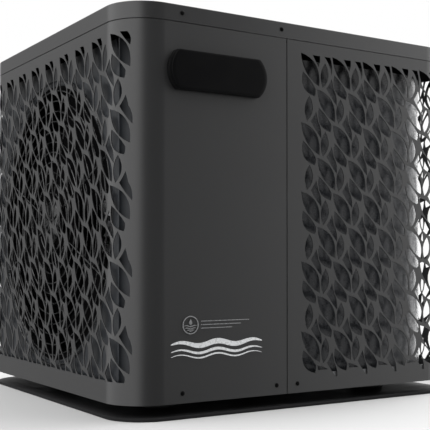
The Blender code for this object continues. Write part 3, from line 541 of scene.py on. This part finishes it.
def bow(start, finish, bulge, steps):
    """Points of an arc between two corners, without the last. It swells to the left of its way by bulge."""
    start, finish = Vector(start), Vector(finish)
    across = Vector((finish.y - start.y, start.x - finish.x)).normalized()
    shares = [i / steps for i in range(steps)]
    return [start.lerp(finish, share) + across * bulge * 4 * share * (1 - share) for share in shares]


def outline_of(*strokes):
    """A closed outline in millimetres. Each (along, down, bulge, steps) bows on to the next stroke."""
    made = []
    for (x, y, bulge, steps), following in zip(strokes, strokes[1:] + strokes[:1]):
        made += bow((x, y), following[:2], bulge, steps)
    return made


def grown(outline, share):
    """The outline made larger about its own middle."""
    middle = sum(outline, Vector((0, 0))) / len(outline)
    return [middle + (point - middle) * share for point in outline]


LARGE_LEAF = grown(outline_of((0, 0, 11.0, 8), (27.5, 37.5, 7.0, 7)), 1.055)
LOWER_LEAF = outline_of((2.1, 22.0, 1.4, 4), (22.3, 42.1, 0.8, 3), (20.8, 51.4, 9.3, 8))
UPRIGHT_LEAF = grown(outline_of((37.5, 9.2, 6.9, 6), (33.9, 39.2, 5.0, 6)), 1.06)
WINGED_LEAF = outline_of(
    (48.0, 27.2, 0.2, 3), (51.4, 39.5, 2.0, 5), (56.2, 60.2, 0.5, 4), (39.4, 39.8, -0.6, 4)
)
LEAVES = (LARGE_LEAF, LOWER_LEAF, UPRIGHT_LEAF, WINGED_LEAF)
# The pattern starts under the lid with a wedge and a claw. On the left, one wider shape takes their place.
TOP_WEDGE = outline_of(
    (18.0, 0.2, 0, 1), (29.4, 0.2, 0, 1), (29.8, 3.5, 0, 1), (29.3, 8.0, 0, 1), (27.0, 14.5, 0, 1)
)
TOP_CLAW = outline_of((36.5, 0.2, 0, 1), (46.0, 0.2, 2.0, 5), (48.0, 22.5, -2.0, 5))
TOP_WING = outline_of((14.5, -1.5, 0, 1), (24.5, -1.0, 2.6, 6), (28.0, 14.5, 0.3, 3))


def clipped(outline, lowest):
    """The part of an outline of (along, down) points that isn't further down than lowest."""
    kept = []
    for before, point in zip([outline[-1]] + outline[:-1], outline):
        if (before.y <= lowest) != (point.y <= lowest):
            kept.append(before.lerp(point, (lowest - before.y) / (point.y - before.y)))
        if point.y <= lowest:
            kept.append(point)
    return kept


def turned_one_way(outline):
    """The outline in anticlockwise order."""
    area = sum(before.cross(point) for before, point in zip([outline[-1]] + outline[:-1], outline))
    return outline if area > 0 else outline[::-1]


def leaf_holes(first, start, finish, lowest, top_shapes):
    """Outlines, as (along, z), of all leaves between start and finish. first is a tip of an even row."""
    holes = []
    for row in range(ROWS + 1):
        shapes = LEAVES if row < ROWS else (LARGE_LEAF,)
        if row == 0:
            shapes += top_shapes
        limit = lowest if row < ROWS else LAST_TIPS
        down = FIRST_ROW + row * ROW_PITCH
        origin = first + (row % 2) * LEAF_PITCH / 2
        column = floor((start - origin) / LEAF_PITCH) - 1
        while origin + column * LEAF_PITCH < finish:
            along = origin + column * LEAF_PITCH
            for shape in shapes:
                places = [point * MILLIMETRE for point in shape]
                outline = [Vector((along + place.x * LEAF_SQUEEZE, down + place.y)) for place in places]
                outline = clipped(outline, limit)
                if len(outline) > 2 and all(start <= point.x <= finish for point in outline):
                    holes.append(turned_one_way([Vector((point.x, TOP - point.y)) for point in outline]))
            column += 1
    return holes


def cut_sheet(start, finish, holes):
    """A flat sheet with holes: points as (along, z), and triangles with a line of edges at every bend."""
    corners = ((start, BOTTOM), (finish, BOTTOM), (finish, PANEL_TOP), (start, PANEL_TOP))
    points = [Vector(corner) for corner in corners]
    outlines = [[0, 1, 2, 3]]
    for hole in holes:
        outlines.append(list(range(len(points), len(points) + len(hole))))
        points += hole
    edges = []
    for line in bend_lines(start, finish):
        edges.append((len(points), len(points) + 1))
        points += [Vector((line, BOTTOM)), Vector((line, PANEL_TOP))]
    inside_only = 1
    flat, _, faces, _, _, source = delaunay_2d_cdt(points, edges, outlines, inside_only, TINY)
    return flat, [face for face, owners in zip(faces, source) if set(owners) == {0}]


def folded_panel(name, start, finish, holes):
    """A painted sheet, cut with its holes and folded round the corners, with a lip behind the lid's skirt."""
    flat, faces = cut_sheet(start, finish, holes)
    used = sorted({index for face in faces for index in face})
    renumbered = {index: i for i, index in enumerate(used)}
    faces = [[renumbered[index] for index in face] for face in faces]
    count = len(used)
    outer = [skin_at(flat[index].x, 0.0, flat[index].y) for index in used]
    inner = [skin_at(flat[index].x, LEAF_SHEET, flat[index].y) for index in used]
    outward = [Vector((*skin_point(flat[index].x)[1], 0.0)) for index in used]
    sides = dict.fromkeys(pair for face in faces for pair in zip(face, face[1:] + face[:1]))
    skins = faces + [[index + count for index in reversed(face)] for face in faces]
    skins += [[b, a, a + count, b + count] for a, b in sides if (b, a) not in sides]
    lip_points, lip_faces = lip_strip(start, finish, 2 * count)
    mesh = bpy.data.meshes.new(name)
    mesh.from_pydata(outer + inner + lip_points, [], skins + lip_faces)
    mesh.update()
    mesh.shade_smooth()
    facing = outward + [-normal for normal in outward]
    normals = []
    for polygon in mesh.polygons:
        on_skin = polygon.index < 2 * len(faces)
        normals += [facing[index] if on_skin else polygon.normal.copy() for index in polygon.vertices]
    mesh.normals_split_custom_set(normals)
    return mesh


def lip_strip(start, finish, first_index):
    """The upright lip behind the lid's skirt, as points and faces."""
    inset = SHEET + GAP
    low, high = PANEL_TOP - SHEET, left_high.z
    stops = [start] + bend_lines(start, finish) + [finish]
    section = ((inset, low), (inset, high), (inset + SHEET, high), (inset + SHEET, low))
    points = [skin_at(stop, depth, z) for stop in stops for depth, z in section]
    last = first_index + len(points) - 4
    faces = []
    for here in range(first_index, last, 4):
        for a, b in ((0, 1), (1, 2), (2, 3), (3, 0)):
            faces.append([here + a, here + 4 + a, here + 4 + b, here + b])
    faces.append([first_index + corner for corner in (0, 1, 2, 3)])
    faces.append([last + corner for corner in (3, 2, 1, 0)])
    return points, faces


def make_casing():
    """The two wrap panels: the left one from the rear to the front seam, and the right one on from there."""
    rear_low, rear_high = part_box("rear_panel")
    left_side_start = -(ARC + FLAT_Y)
    left_start = left_side_start - ARC - (rear_low.x - LEFT - CORNER) + REAR_SEAM
    left_finish = left_high.x - (LEFT + CORNER)
    right_start = right_low.x - (LEFT + CORNER)
    right_side_end = FLAT_X + ARC + FLAT_Y
    right_finish = right_side_end + ARC + (RIGHT - CORNER - rear_high.x) - REAR_SEAM
    left_leaves = (left_side_start - REACH_ROUND_CORNER, -ARC + REACH_ROUND_CORNER)
    right_leaves = (FRONT_LEAVES_START - FIRST_LEAF_CLEARANCE, right_side_end + REACH_ROUND_CORNER)
    left_holes = leaf_holes(LEFT_LEAVES_TIP, *left_leaves, SIDE_LOWEST, (TOP_WING,))
    right_holes = leaf_holes(FRONT_LEAVES_START, *right_leaves, FRONT_LOWEST, (TOP_WEDGE, TOP_CLAW))
    left = folded_panel("left_leaf_panel", left_start, left_finish, left_holes)
    right = folded_panel("right_leaf_panel", right_start, right_finish, right_holes)
    piece(left, "casing_paint", ("left_wrap_panel",))
    piece(right, "casing_paint", ("right_wrap_panel",))


def ringed(name, rings):
    """A closed skin through the casing's whole outline at each (inset, z)."""
    return lofted(name, [[skin_at(stop, inset, z) for stop in corner_stops()] for inset, z in rings])


def make_cover():
    """The lid: a skirt with a softly rounded upper edge and a flat top."""
    rounding, steps, hem = 0.0010, 4, 0.0003
    inner, low = cover_high.z - SHEET, cover_low.z
    rings = [(SHEET * 6, inner), (SHEET * 2, inner), (SHEET, inner - SHEET), (SHEET, low + 0.0002)]
    rings += [(SHEET * 0.7, low), (hem, low), (0.0, low + hem), (0.0, low + 2 * hem)]
    rings.append((0.0, TOP - rounding * 1.5))
    for i in range(steps + 1):
        angle = pi / 2 * i / steps
        rings.append((rounding * (1 - cos(angle)), TOP - rounding * (1 - sin(angle))))
    rings += [(rounding * 3, TOP), (rounding * 20, TOP)]
    piece(ringed("cover_lid", rings), "casing_paint", ("top_cover",))


def make_cover_pad():
    """Black foam glued under the lid: a dark strip that puts painted shade into the inside under the lid."""
    border, inside, thickness, glue = 0.008, 0.018, 0.0016, 0.0002
    top = TOP - SHEET - glue
    rings = [(inside, top), (border, top), (border, top - thickness), (inside, top - thickness)]
    # The dark foam strip stands in for the shade under the lid.
    piece(ringed("cover_foam_pad", rings), "foam", ())


def make_base():
    """The thin black plate under the unit, the folded pan above it and four grooved rubber feet."""
    low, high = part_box("base_plate")
    border, edge = 0.020, 0.0010
    eased = edge * 0.3
    rings = [(border, low.z), (edge, low.z), (eased, low.z + eased), (0, low.z + edge)]
    rings += [(0, high.z - edge), (eased, high.z - eased), (edge, high.z), (border, high.z)]
    piece(ringed("base_plate_slab", rings), "base_black", ("base_plate",))
    low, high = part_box("base_pan")
    border, bend, eased = 0.030, 0.002, 0.0006
    inset = low.x - LEFT
    inside = inset + SHEET
    rings = [(border, low.z), (inset + bend, low.z), (inset + eased, low.z + eased), (inset, low.z + bend)]
    rings += [(inset, high.z), (inside, high.z), (inside, low.z + SHEET), (border, low.z + SHEET)]
    piece(ringed("base_pan_folded", rings), "galvanised_steel", ("base_pan",))
    for name in ("foot_front_left", "foot_front_right", "foot_rear_left", "foot_rear_right"):
        make_foot(name)


def make_foot(name):
    low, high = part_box(name)
    centre = (low + high) / 2
    radius, height = (high.x - low.x) / 2, high.z - low.z
    waist = radius * 0.86
    profile = [(0, 0), (radius, 0), (radius, height * 0.3), (waist, height * 0.42), (waist, height * 0.58)]
    profile += [(radius, height * 0.7), (radius, height), (0, height)]
    mesh = turned(f"{name}_pad", profile, (centre.x, centre.y, low.z), edge=0.001)
    piece(mesh, "black_rubber", (name,))


# ---- screws
SCREWS = ("skirt_screw_left", "skirt_screw_right", "base_screw_corner")
SCREWS += ("base_screw_seam_left", "base_screw_seam_right")


def make_screw(node):
    """A pan-head screw with a cross recess, its head towards the front."""
    low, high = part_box(node)
    centre = (low + high) / 2
    head = (high.x - low.x) / 2
    shank, point = head * 0.55, 0.0005
    face, seat = low.y, FRONT - GAP
    profile = [(0.0, face), (head * 0.45, face + 0.00006), (head * 0.8, face + 0.00035)]
    profile += [(head, face + 0.0009), (head, seat), (shank, seat), (shank, high.y - point)]
    profile += [(shank * 0.5, high.y), (0.0, high.y)]
    mesh = turned(f"{node}_head", profile, (centre.x, 0, centre.z), "Y", 32)
    made = piece(mesh, "black_screw", (node,))
    lean, slot_depth = 0.35, 0.0009
    slots = bmesh.new()
    for turn in (0, pi / 2):
        arm = Matrix.Translation((centre.x, face, centre.z)) @ Matrix.Rotation(turn + lean, 4, "Y")
        size = Matrix.Diagonal((head * 1.15, slot_depth, head * 0.26, 1.0))
        bmesh.ops.create_cube(slots, size=1.0, matrix=arm @ size)
    cut_with(made, slots)


def cut_with(made, bm):
    """Cuts the shapes of a bmesh out of a piece, for good."""
    cutter = placed("cutter", mesh_of(bm, "cutter"))
    change = made.modifiers.new("cut", "BOOLEAN")
    change.operation = "DIFFERENCE"
    change.solver = "EXACT"
    change.use_self = True
    change.object = cutter
    bpy.context.view_layer.update()
    result = bpy.data.meshes.new_from_object(made.evaluated_get(bpy.context.evaluated_depsgraph_get()))
    made.modifiers.clear()
    old = made.data
    made.data = result
    result.name = old.name
    bpy.data.meshes.remove(old)
    bpy.data.objects.remove(cutter)


# ---- control module
def pill(half_width, half_height, centre, y):
    """The module's outline at one depth: straight above and below, with bowed ends and eased corners."""
    bowing, corner, steps = 0.010, 0.0012, 12
    radius = (bowing**2 + half_height**2) / (2 * bowing)
    swing = asin(half_height / radius)
    ends = []
    for side in (1, -1):
        for i in range(steps + 1):
            angle = swing * (2 * i / steps - 1)
            across = half_width - radius + radius * cos(angle)
            ends.append((side * across, side * radius * sin(angle)))
    return [Vector((centre.x + a, y, centre.z + b)) for a, b in rounded(ends, corner, 3)]


def make_control():
    """The module's housing, with bevelled ends, and the glossy touch face set into it."""
    low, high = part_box("control_housing")
    glass_low, glass_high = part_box("control_glass")
    centre = (low + high) / 2
    half_width, half_height = (high.x - low.x) / 2, (high.z - low.z) / 2

    def shell(name, rings, sharp=35):
        """A skin through the pill at each (cut from the ends, cut from above and below, y)."""
        loops = [pill(half_width - ends, half_height - above, centre, y) for ends, above, y in rings]
        return lofted(name, loops, sharp)

    bevel, side_bevel = 0.0011, 0.0002
    rings = [(0.0, 0.0, high.y), (0.0, 0.0, low.y + bevel * 0.5)]
    rings += [(bevel, side_bevel, low.y), (bevel * 3, bevel * 2, low.y)]
    piece(shell("control_shell", rings), "black_housing", ("control_housing",))
    front, back = glass_low.y, glass_high.y
    ends, above, edge = 0.0014, 0.0004, 0.0004
    rings = [(ends, above, back), (ends, above, front + edge)]
    rings.append((ends + edge * 0.4, above + edge * 0.3, front + edge * 0.3))
    rings += [(ends + edge * 1.5, above + edge, front), (0.0060, 0.0030, front)]
    piece(shell("control_touch_face", rings, 20), "gloss_black", ("control_glass",))


# ---- plain badge
def add_ribbon(bm, upper, lower, near, far):
    """A flat strip between two lines of (x, z) points, near and far in y."""
    loops = []
    for (a, above), (b, below) in zip(upper, lower):
        corners = ((a, near, above), (a, far, above), (b, far, below), (b, near, below))
        loops.append([Vector(corner) for corner in corners])
    add_loft(bm, loops)


def wave(start, finish, middle, height, ripple, waves, steps=60):
    """Upper and lower lines of a strip that runs as a wave and thins out at both ends."""
    upper, lower = [], []
    for i in range(steps + 1):
        share = i / steps
        x = start + (finish - start) * share
        z = middle + ripple * sin(2 * pi * waves * share)
        half = height / 2 * (0.12 + 0.88 * sin(pi * share) ** 0.6)
        upper.append((x, z + half))
        lower.append((x, z - half))
    return upper, lower


def make_badge():
    """A ring with a drop and waves, three bars beside it, and a wave ribbon under it."""
    low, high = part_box("emblem_disc")
    centre = (low + high) / 2
    radius, near, far = (high.x - low.x) / 2, low.y, high.y
    inside = radius - 0.0013
    bm = bmesh.new()
    profile = [(radius, near), (radius, far), (inside, far), (inside, near)]
    add_turned(bm, rounded(profile, 0.0003, 2), (centre.x, 0, centre.z), "Y", 64, hollow=True)
    for level, length in ((-0.0010, 0.84), (-0.0037, 0.74), (-0.0062, 0.50)):
        reach = radius * length
        lines = wave(centre.x - reach, centre.x + reach, centre.z + level, 0.0013, 0.0006, 1.5, 24)
        add_ribbon(bm, *lines, near, far)
    drop = [(0.0, 0.0070), (0.0016, 0.0040), (0.0022, 0.0022), (0.0012, 0.0007)]
    drop_line = rounded(drop + [(0.0, 0.0003)] + [(-a, b) for a, b in reversed(drop[1:])], 0.0012, 3)
    add_loft(bm, [[Vector((centre.x + a, y, centre.z + b)) for a, b in drop_line] for y in (near, far)])
    piece(mesh_from(bm, "emblem_ring"), "grey_badge", ("emblem_disc",))

    proud, sunk = 0.0005, 0.0001
    bm = bmesh.new()
    bar_start, bar_length, bar_height = centre.x + radius + 0.0035, 0.066, 0.0010
    for level, share in ((0.0040, 1.0), (0.0, 0.82), (-0.0040, 0.64)):
        top = centre.z + level + bar_height / 2
        upper = [(bar_start, top), (bar_start + bar_length * share, top)]
        lower = [(x, z - bar_height) for x, z in upper]
        add_ribbon(bm, upper, lower, FRONT - proud, FRONT - sunk)
    piece(mesh_from(bm, "emblem_bars"), "grey_badge", ())

    proud = 0.0007
    bm = bmesh.new()
    start, finish, middle = centre.x - 0.025, centre.x + 0.098, centre.z - 0.0265
    for level, height in ((0.0050, 0.0062), (-0.0035, 0.0032), (-0.0090, 0.0018)):
        lines = wave(start, finish, middle + level, height, 0.0022, 2.5)
        add_ribbon(bm, *lines, FRONT - proud, FRONT - sunk)
    piece(mesh_from(bm, "wave_ribbon"), "light_badge")


# ---- fan side
def circle(radius, x, centre, steps, offset=0.0):
    """Points of a circle across X."""
    return [
        Vector((x, centre.y + radius * cos(angle), centre.z + radius * sin(angle)))
        for angle in angles(steps, offset)
    ]


def make_fan_side():
    ring_low, ring_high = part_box("orifice_ring")
    centre = (ring_low + ring_high) / 2
    make_deck(centre)
    make_orifice(centre, ring_low, ring_high)
    make_guard(centre)
    make_rotor(centre, ring_low.x)


def make_deck(centre):
    """The folded sheet behind the leaves: its round hole has a rolled edge, and both sides fold back."""
    low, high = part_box("fan_deck")
    sheet, hole, bend = 0.0012, 0.177, 0.0009
    steps, corner_steps = 96, 6
    front, back = low.x, low.x + sheet
    border = []
    for angle in angles(steps, 0.5):
        a, b = cos(angle), sin(angle)
        reach_y = (high.y - bend - centre.y if a > 0 else centre.y - low.y - bend) / max(abs(a), TINY)
        reach_z = (high.z - centre.z if b > 0 else centre.z - low.z) / max(abs(b), TINY)
        reach = min(reach_y, reach_z)
        border.append((centre.y + a * reach, centre.z + b * reach))
    loops = [[Vector((x, y, z)) for y, z in border] for x in (back, front)]
    rolled = ((0.0030, front), (0.0012, front + 0.0002), (0.0, front + 0.0009), (0.0, back), (0.0030, back))
    loops += [circle(hole + wider, x, centre, steps, 0.5) for wider, x in rolled]
    bm = bmesh.new()
    add_loft(bm, loops, closed=True)
    quarter = [pi / 2 * i / corner_steps for i in range(corner_steps + 1)]
    fold = [(low.x + bend * (1 - cos(angle)), low.y + bend * (1 - sin(angle))) for angle in quarter]
    fold += [(high.x, low.y), (high.x, low.y + sheet), (low.x + bend, low.y + sheet), (back, low.y + bend)]
    for outline in (fold, [(x, low.y + high.y - y) for x, y in fold]):
        add_loft(bm, [[Vector((x, y, z)) for x, y in outline] for z in (low.z, high.z)])
    piece(mesh_from(bm, "fan_deck_sheet"), "deck_paint", ("fan_deck",))


def make_orifice(centre, low, high):
    """The plastic tunnel, with a belled mouth towards the deck."""
    bore, wall = 0.1705, 0.002
    outer, length = (high.z - low.z) / 2, high.x - low.x
    profile = [(bore, length), (bore + wall, length), (bore + wall, wall + 0.004)]
    profile += [(bore + wall + 0.003, wall), (outer, wall), (outer, 0.0), (bore + 0.0045, 0.0)]
    profile += [(bore + 0.0012, 0.0016), (bore, 0.0055)]
    mesh = turned("orifice_tunnel", profile, (low.x, centre.y, centre.z), "X", 96, True, edge=0.0012)
    piece(mesh, "fan_black", ("orifice_ring",))


def make_guard(centre):
    """Round wires welded to crossing bars, with a plain cap in the middle."""
    low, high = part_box("fan_guard")
    wire, rings, bars = 0.0009, 14, 4
    outer = (high.z - low.z) / 2 - 0.0012
    ring_x, bar_x = low.x + 0.0014, low.x - 0.0006
    bm = bmesh.new()
    for i in range(2, rings + 1):
        add_wire(bm, circle(outer * i / rings, ring_x, centre, 72), wire)
    middle = Vector((bar_x, centre.y, centre.z))
    for i in range(bars):
        angle = pi * (i + 0.5) / bars
        reach = Vector((0, cos(angle), sin(angle))) * outer
        add_wire(bm, [middle + reach * share for share in (-1, -0.5, 0, 0.5, 1)], wire, closed=False)
    cap, cap_front, cap_depth = outer * 2.1 / rings, ring_x - 0.0008, 0.0016
    profile = [(0, 0.0), (cap * 0.8, 0.0), (cap, 0.0007), (cap, cap_depth), (0, cap_depth)]
    add_turned(bm, profile, (cap_front, centre.y, centre.z), "X", 48)
    piece(mesh_from(bm, "guard_wires", 50), "guard_wire", ("fan_guard",))


BLADES = 3
BLADE_TIP = 0.164
BLADE_ROOT = 0.030


def make_rotor(centre, mouth_x):
    """Three swept, twisted and tapered blades on a domed hub, behind the orifice's mouth."""
    front, length, radius, bore = mouth_x + 0.012, 0.039, 0.040, 0.0043
    bm = bmesh.new()
    hub = [(bore, length), (radius - 0.003, length), (radius - 0.003, length - 0.003)]
    hub += [(radius, length - 0.006), (radius, 0.007), (radius - 0.002, 0.0028)]
    hub += [(radius - 0.007, 0.0004), (radius - 0.014, 0.0), (0.012, 0.0), (0.011, 0.0012), (bore, 0.0012)]
    add_turned(bm, rounded(hub, 0.0012, 2), (front, centre.y, centre.z), "X", 64, hollow=True)
    for turn in angles(BLADES):
        add_blade(bm, turn, radius - 0.002, Vector((front + length / 2, centre.y, centre.z)))
    piece(mesh_from(bm, "rotor_blades", 50), "fan_black", ("fan_rotor",), "fan")


def add_blade(bm, turn, root, centre):
    """One blade as a closed skin: thick at its root and middle, thin at its edges."""
    radial, chord = 14, 16
    places = {}
    for side in (1, -1):
        for i in range(radial + 1):
            share = i / radial
            radius = root + (BLADE_TIP - root) * share
            outward = max(0.0, (radius - BLADE_ROOT) / (BLADE_TIP - BLADE_ROOT))
            span = radians(58 + 34 * outward) * (1 - 0.10 * share**6)
            lead = radians(20 * outward**2)
            depth = 0.026 + 0.012 * outward
            for j in range(chord + 1):
                along = j / chord - 0.5
                thick = (0.0016 - 0.0008 * share) * (1 - (2 * along) ** 4) + 0.0003
                arch = 0.004 * (1 - 4 * along * along)
                angle = turn + lead + along * span
                x = along * depth + arch + side * thick / 2
                place = centre + Vector((x, radius * cos(angle), radius * sin(angle)))
                places[(side, i, j)] = bm.verts.new(place)
    for side in (1, -1):
        for i in range(radial):
            for j in range(chord):
                bm.faces.new([places[(side, i + a, j + b)] for a, b in ((0, 0), (1, 0), (1, 1), (0, 1))])
    border = [(i, 0) for i in range(radial)] + [(radial, j) for j in range(chord)]
    border += [(i, chord) for i in range(radial, 0, -1)] + [(0, j) for j in range(chord, 0, -1)]
    for (i, j), (k, m) in zip(border, border[1:] + border[:1]):
        bm.faces.new([places[(1, i, j)], places[(1, k, m)], places[(-1, k, m)], places[(-1, i, j)]])


# ---- coil
def make_coil():
    """Thin upright fins on the bent coil, one after another along its path."""
    low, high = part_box("evaporator_coil")
    depth, bend = 0.022, 0.075
    pitch, fin, groove = 0.0019, 0.0014, 0.0006
    centre = Vector((high.x - bend, low.y + bend))
    straight = centre.x - low.x
    turn_length = (bend - depth / 2) * pi / 2
    total = straight + turn_length + high.y - centre.y

    def section(along, inset):
        """A point at a depth behind the coil's outer face, where along runs from its front end."""
        if along < straight:
            return Vector((low.x + along, low.y + inset))
        if along < straight + turn_length:
            angle = (along - straight) / turn_length * pi / 2
            return centre + Vector((sin(angle), -cos(angle))) * (bend - inset)
        return Vector((high.x - inset, centre.y + along - straight - turn_length))

    count = int(total / pitch)
    stops = []
    for start in [i * pitch for i in range(count)]:
        stops += [(start, 0.0), (start + fin, 0.0), (start + fin, groove), (start + pitch, groove)]
    stops += [(count * pitch, 0.0), (total, 0.0)]
    loops = []
    for along, cut in stops:
        near, far = section(min(along, total), cut), section(min(along, total), depth - cut)
        corners = ((near, low.z), (near, high.z), (far, high.z), (far, low.z))
        loops.append([Vector((*place, z)) for place, z in corners])
    piece(lofted("coil_fin_pack", loops), "coil_fins", ("evaporator_coil",))


# ---- water side
WATER_BORE, PORT_TUBE, TAIL_TUBE = 0.017, 0.024, 0.021


def make_port(name, centre):
    """A threaded port with its flange against the rear panel."""
    low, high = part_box(f"{name}_port")
    bore, tube, chamfer = WATER_BORE, PORT_TUBE, 0.001
    flange, flange_start = (high.x - low.x) / 2, REAR + GAP
    flange_end, ease = flange_start + 0.004, 0.0015
    thread_start, thread_pitch, thread_depth = flange_end + 0.0035, 0.0024, 0.0008
    thread_end, root = high.y - chamfer, tube - thread_depth
    profile = [(bore, high.y), (tube - chamfer, high.y), (tube, thread_end)]
    for i in range(int((thread_end - thread_start) / thread_pitch)):
        crest = thread_end - i * thread_pitch
        profile += [(tube, crest - 0.0008), (root, crest - 0.0012), (root, crest - 0.0016)]
        profile.append((tube, crest - 0.0020))
    profile += [(tube, flange_end), (flange - ease, flange_end), (flange, flange_end - ease)]
    profile += [(flange, flange_start), (tube, flange_start), (tube, low.y), (bore, low.y)]
    mesh = turned(f"{name}_threaded_port", profile, (centre.x, 0, centre.z), "Y", 64, True)
    piece(mesh, "grey_pvc", (f"{name}_port",))


def make_tail(name, centre):
    """A tailpiece with two grooves for a hose clamp, and a collar that the nut holds."""
    low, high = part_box(f"{name}_tailpiece")
    bore, tail, chamfer, cut = WATER_BORE, TAIL_TUBE, 0.0012, 0.0007
    collar, collar_end = (high.x - low.x) / 2, low.y + 0.004
    profile = [(bore, high.y), (tail - chamfer, high.y), (tail, high.y - chamfer)]
    for start in (high.y - 0.006, high.y - 0.011):
        profile += [(tail, start), (tail - cut, start - cut), (tail - cut, start - 0.0017)]
        profile.append((tail, start - 0.0024))
    profile += [(tail, collar_end), (collar, collar_end), (collar, low.y), (bore, low.y)]
    mesh = turned(f"{name}_grooved_tail", profile, (centre.x, 0, centre.z), "Y", 64, True)
    piece(mesh, "grey_pvc", (f"{name}_tailpiece",))


def make_nut(name, low, high, centre):
    """A union nut whose outside is a ring of rounded ribs between two smooth rims."""
    ribs, per_rib, rib_depth = 14, 8, 0.0022
    inner, wide = TAIL_TUBE + 2 * GAP, PORT_TUBE + 2 * GAP
    outer, shelf = (high.x - low.x) / 2, high.y - 0.0055
    valley = outer - rib_depth

    def ribbed(radius, angle):
        return radius + rib_depth * (0.5 + 0.5 * cos(ribs * angle)) ** 0.6

    profile = [(inner, high.y - 0.0006), (inner + 0.0006, high.y), (outer - 0.0034, high.y)]
    profile.append((outer - 0.0022, high.y - 0.0010))
    profile += [(valley, high.y - down, ribbed) for down in (0.0024, 0.0034)]
    profile += [(valley, low.y + up, ribbed) for up in (0.0040, 0.0030)]
    profile += [(outer - 0.0006, low.y + 0.0022), (outer - 0.0002, low.y + 0.0006), (outer - 0.0008, low.y)]
    profile += [(wide + 0.0008, low.y), (wide, low.y + 0.0008), (wide, shelf), (inner, shelf)]
    place = (centre.x, 0, centre.z)
    mesh = turned(f"{name}_ribbed_nut", profile, place, "Y", ribs * per_rib, True, sharp=40)
    piece(mesh, "black_plastic", (f"{name}_union_nut",), body=f"{name}_nut")


def make_union(name):
    """A pool pipe's union. The inlet's port stays a CAD node, because the flow switch opens into it."""
    low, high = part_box(f"{name}_union_nut")
    centre = (low + high) / 2
    if name == "outlet":
        make_port(name, centre)
    make_tail(name, centre)
    make_nut(name, low, high, centre)


def make_gland():
    """A hexagonal body and a domed clamping nut with grip ribs, with a round way through for a cable."""
    low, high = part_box("cable_gland")
    centre = (low + high) / 2
    collar, bore, barrel, nut = (high.x - low.x) / 2, 0.0045, 0.009, 0.0088
    start, end = REAR + GAP, REAR + 0.010
    ribs, rib_height, sixth = 18, 0.0005, pi / 3

    def hexagon(radius, angle):
        return radius * cos(sixth / 2) / cos((angle + sixth / 2) % sixth - sixth / 2)

    def grip(radius, angle):
        return radius + rib_height * cos(ribs * angle)

    profile = [(bore, low.y), (barrel - 0.0006, low.y), (barrel, low.y + 0.0006), (barrel, start)]
    profile += [(collar, start, hexagon), (collar, end, hexagon), (nut, end), (nut, end + 0.0010)]
    profile += [(nut - 0.0004, end + 0.0014, grip), (nut - 0.0004, high.y - 0.0045, grip)]
    profile += [(nut - 0.0018, high.y - 0.0018), (nut - 0.0034, high.y)]
    profile += [(bore + 0.0004, high.y), (bore, high.y - 0.0006)]
    mesh = turned("gland_body", profile, (centre.x, 0, centre.z), "Y", 72, True, sharp=25)
    piece(mesh, "black_plastic", ("cable_gland",))


# ---- finishes of the nodes that stay as they are
def finish_nodes():
    """Each CAD node that still shows takes the detailed material of its own slot."""
    for entry in frame["record"]["subparts"]:
        node = frame["nodes"][entry["node"]]
        if not node.hide_render:
            node.data.materials.clear()
            node.data.materials.append(looks[entry["material_slot"]])


bpy.context.scene.view_settings.view_transform = "Standard"
make_camera()
make_world()
make_floor()
looks = make_materials()
make_casing()
make_cover()
make_cover_pad()
make_base()
for screw in SCREWS:
    make_screw(screw)
make_control()
make_badge()
make_fan_side()
make_coil()
for union in ("inlet", "outlet"):
    make_union(union)
make_gland()
finish_nodes()
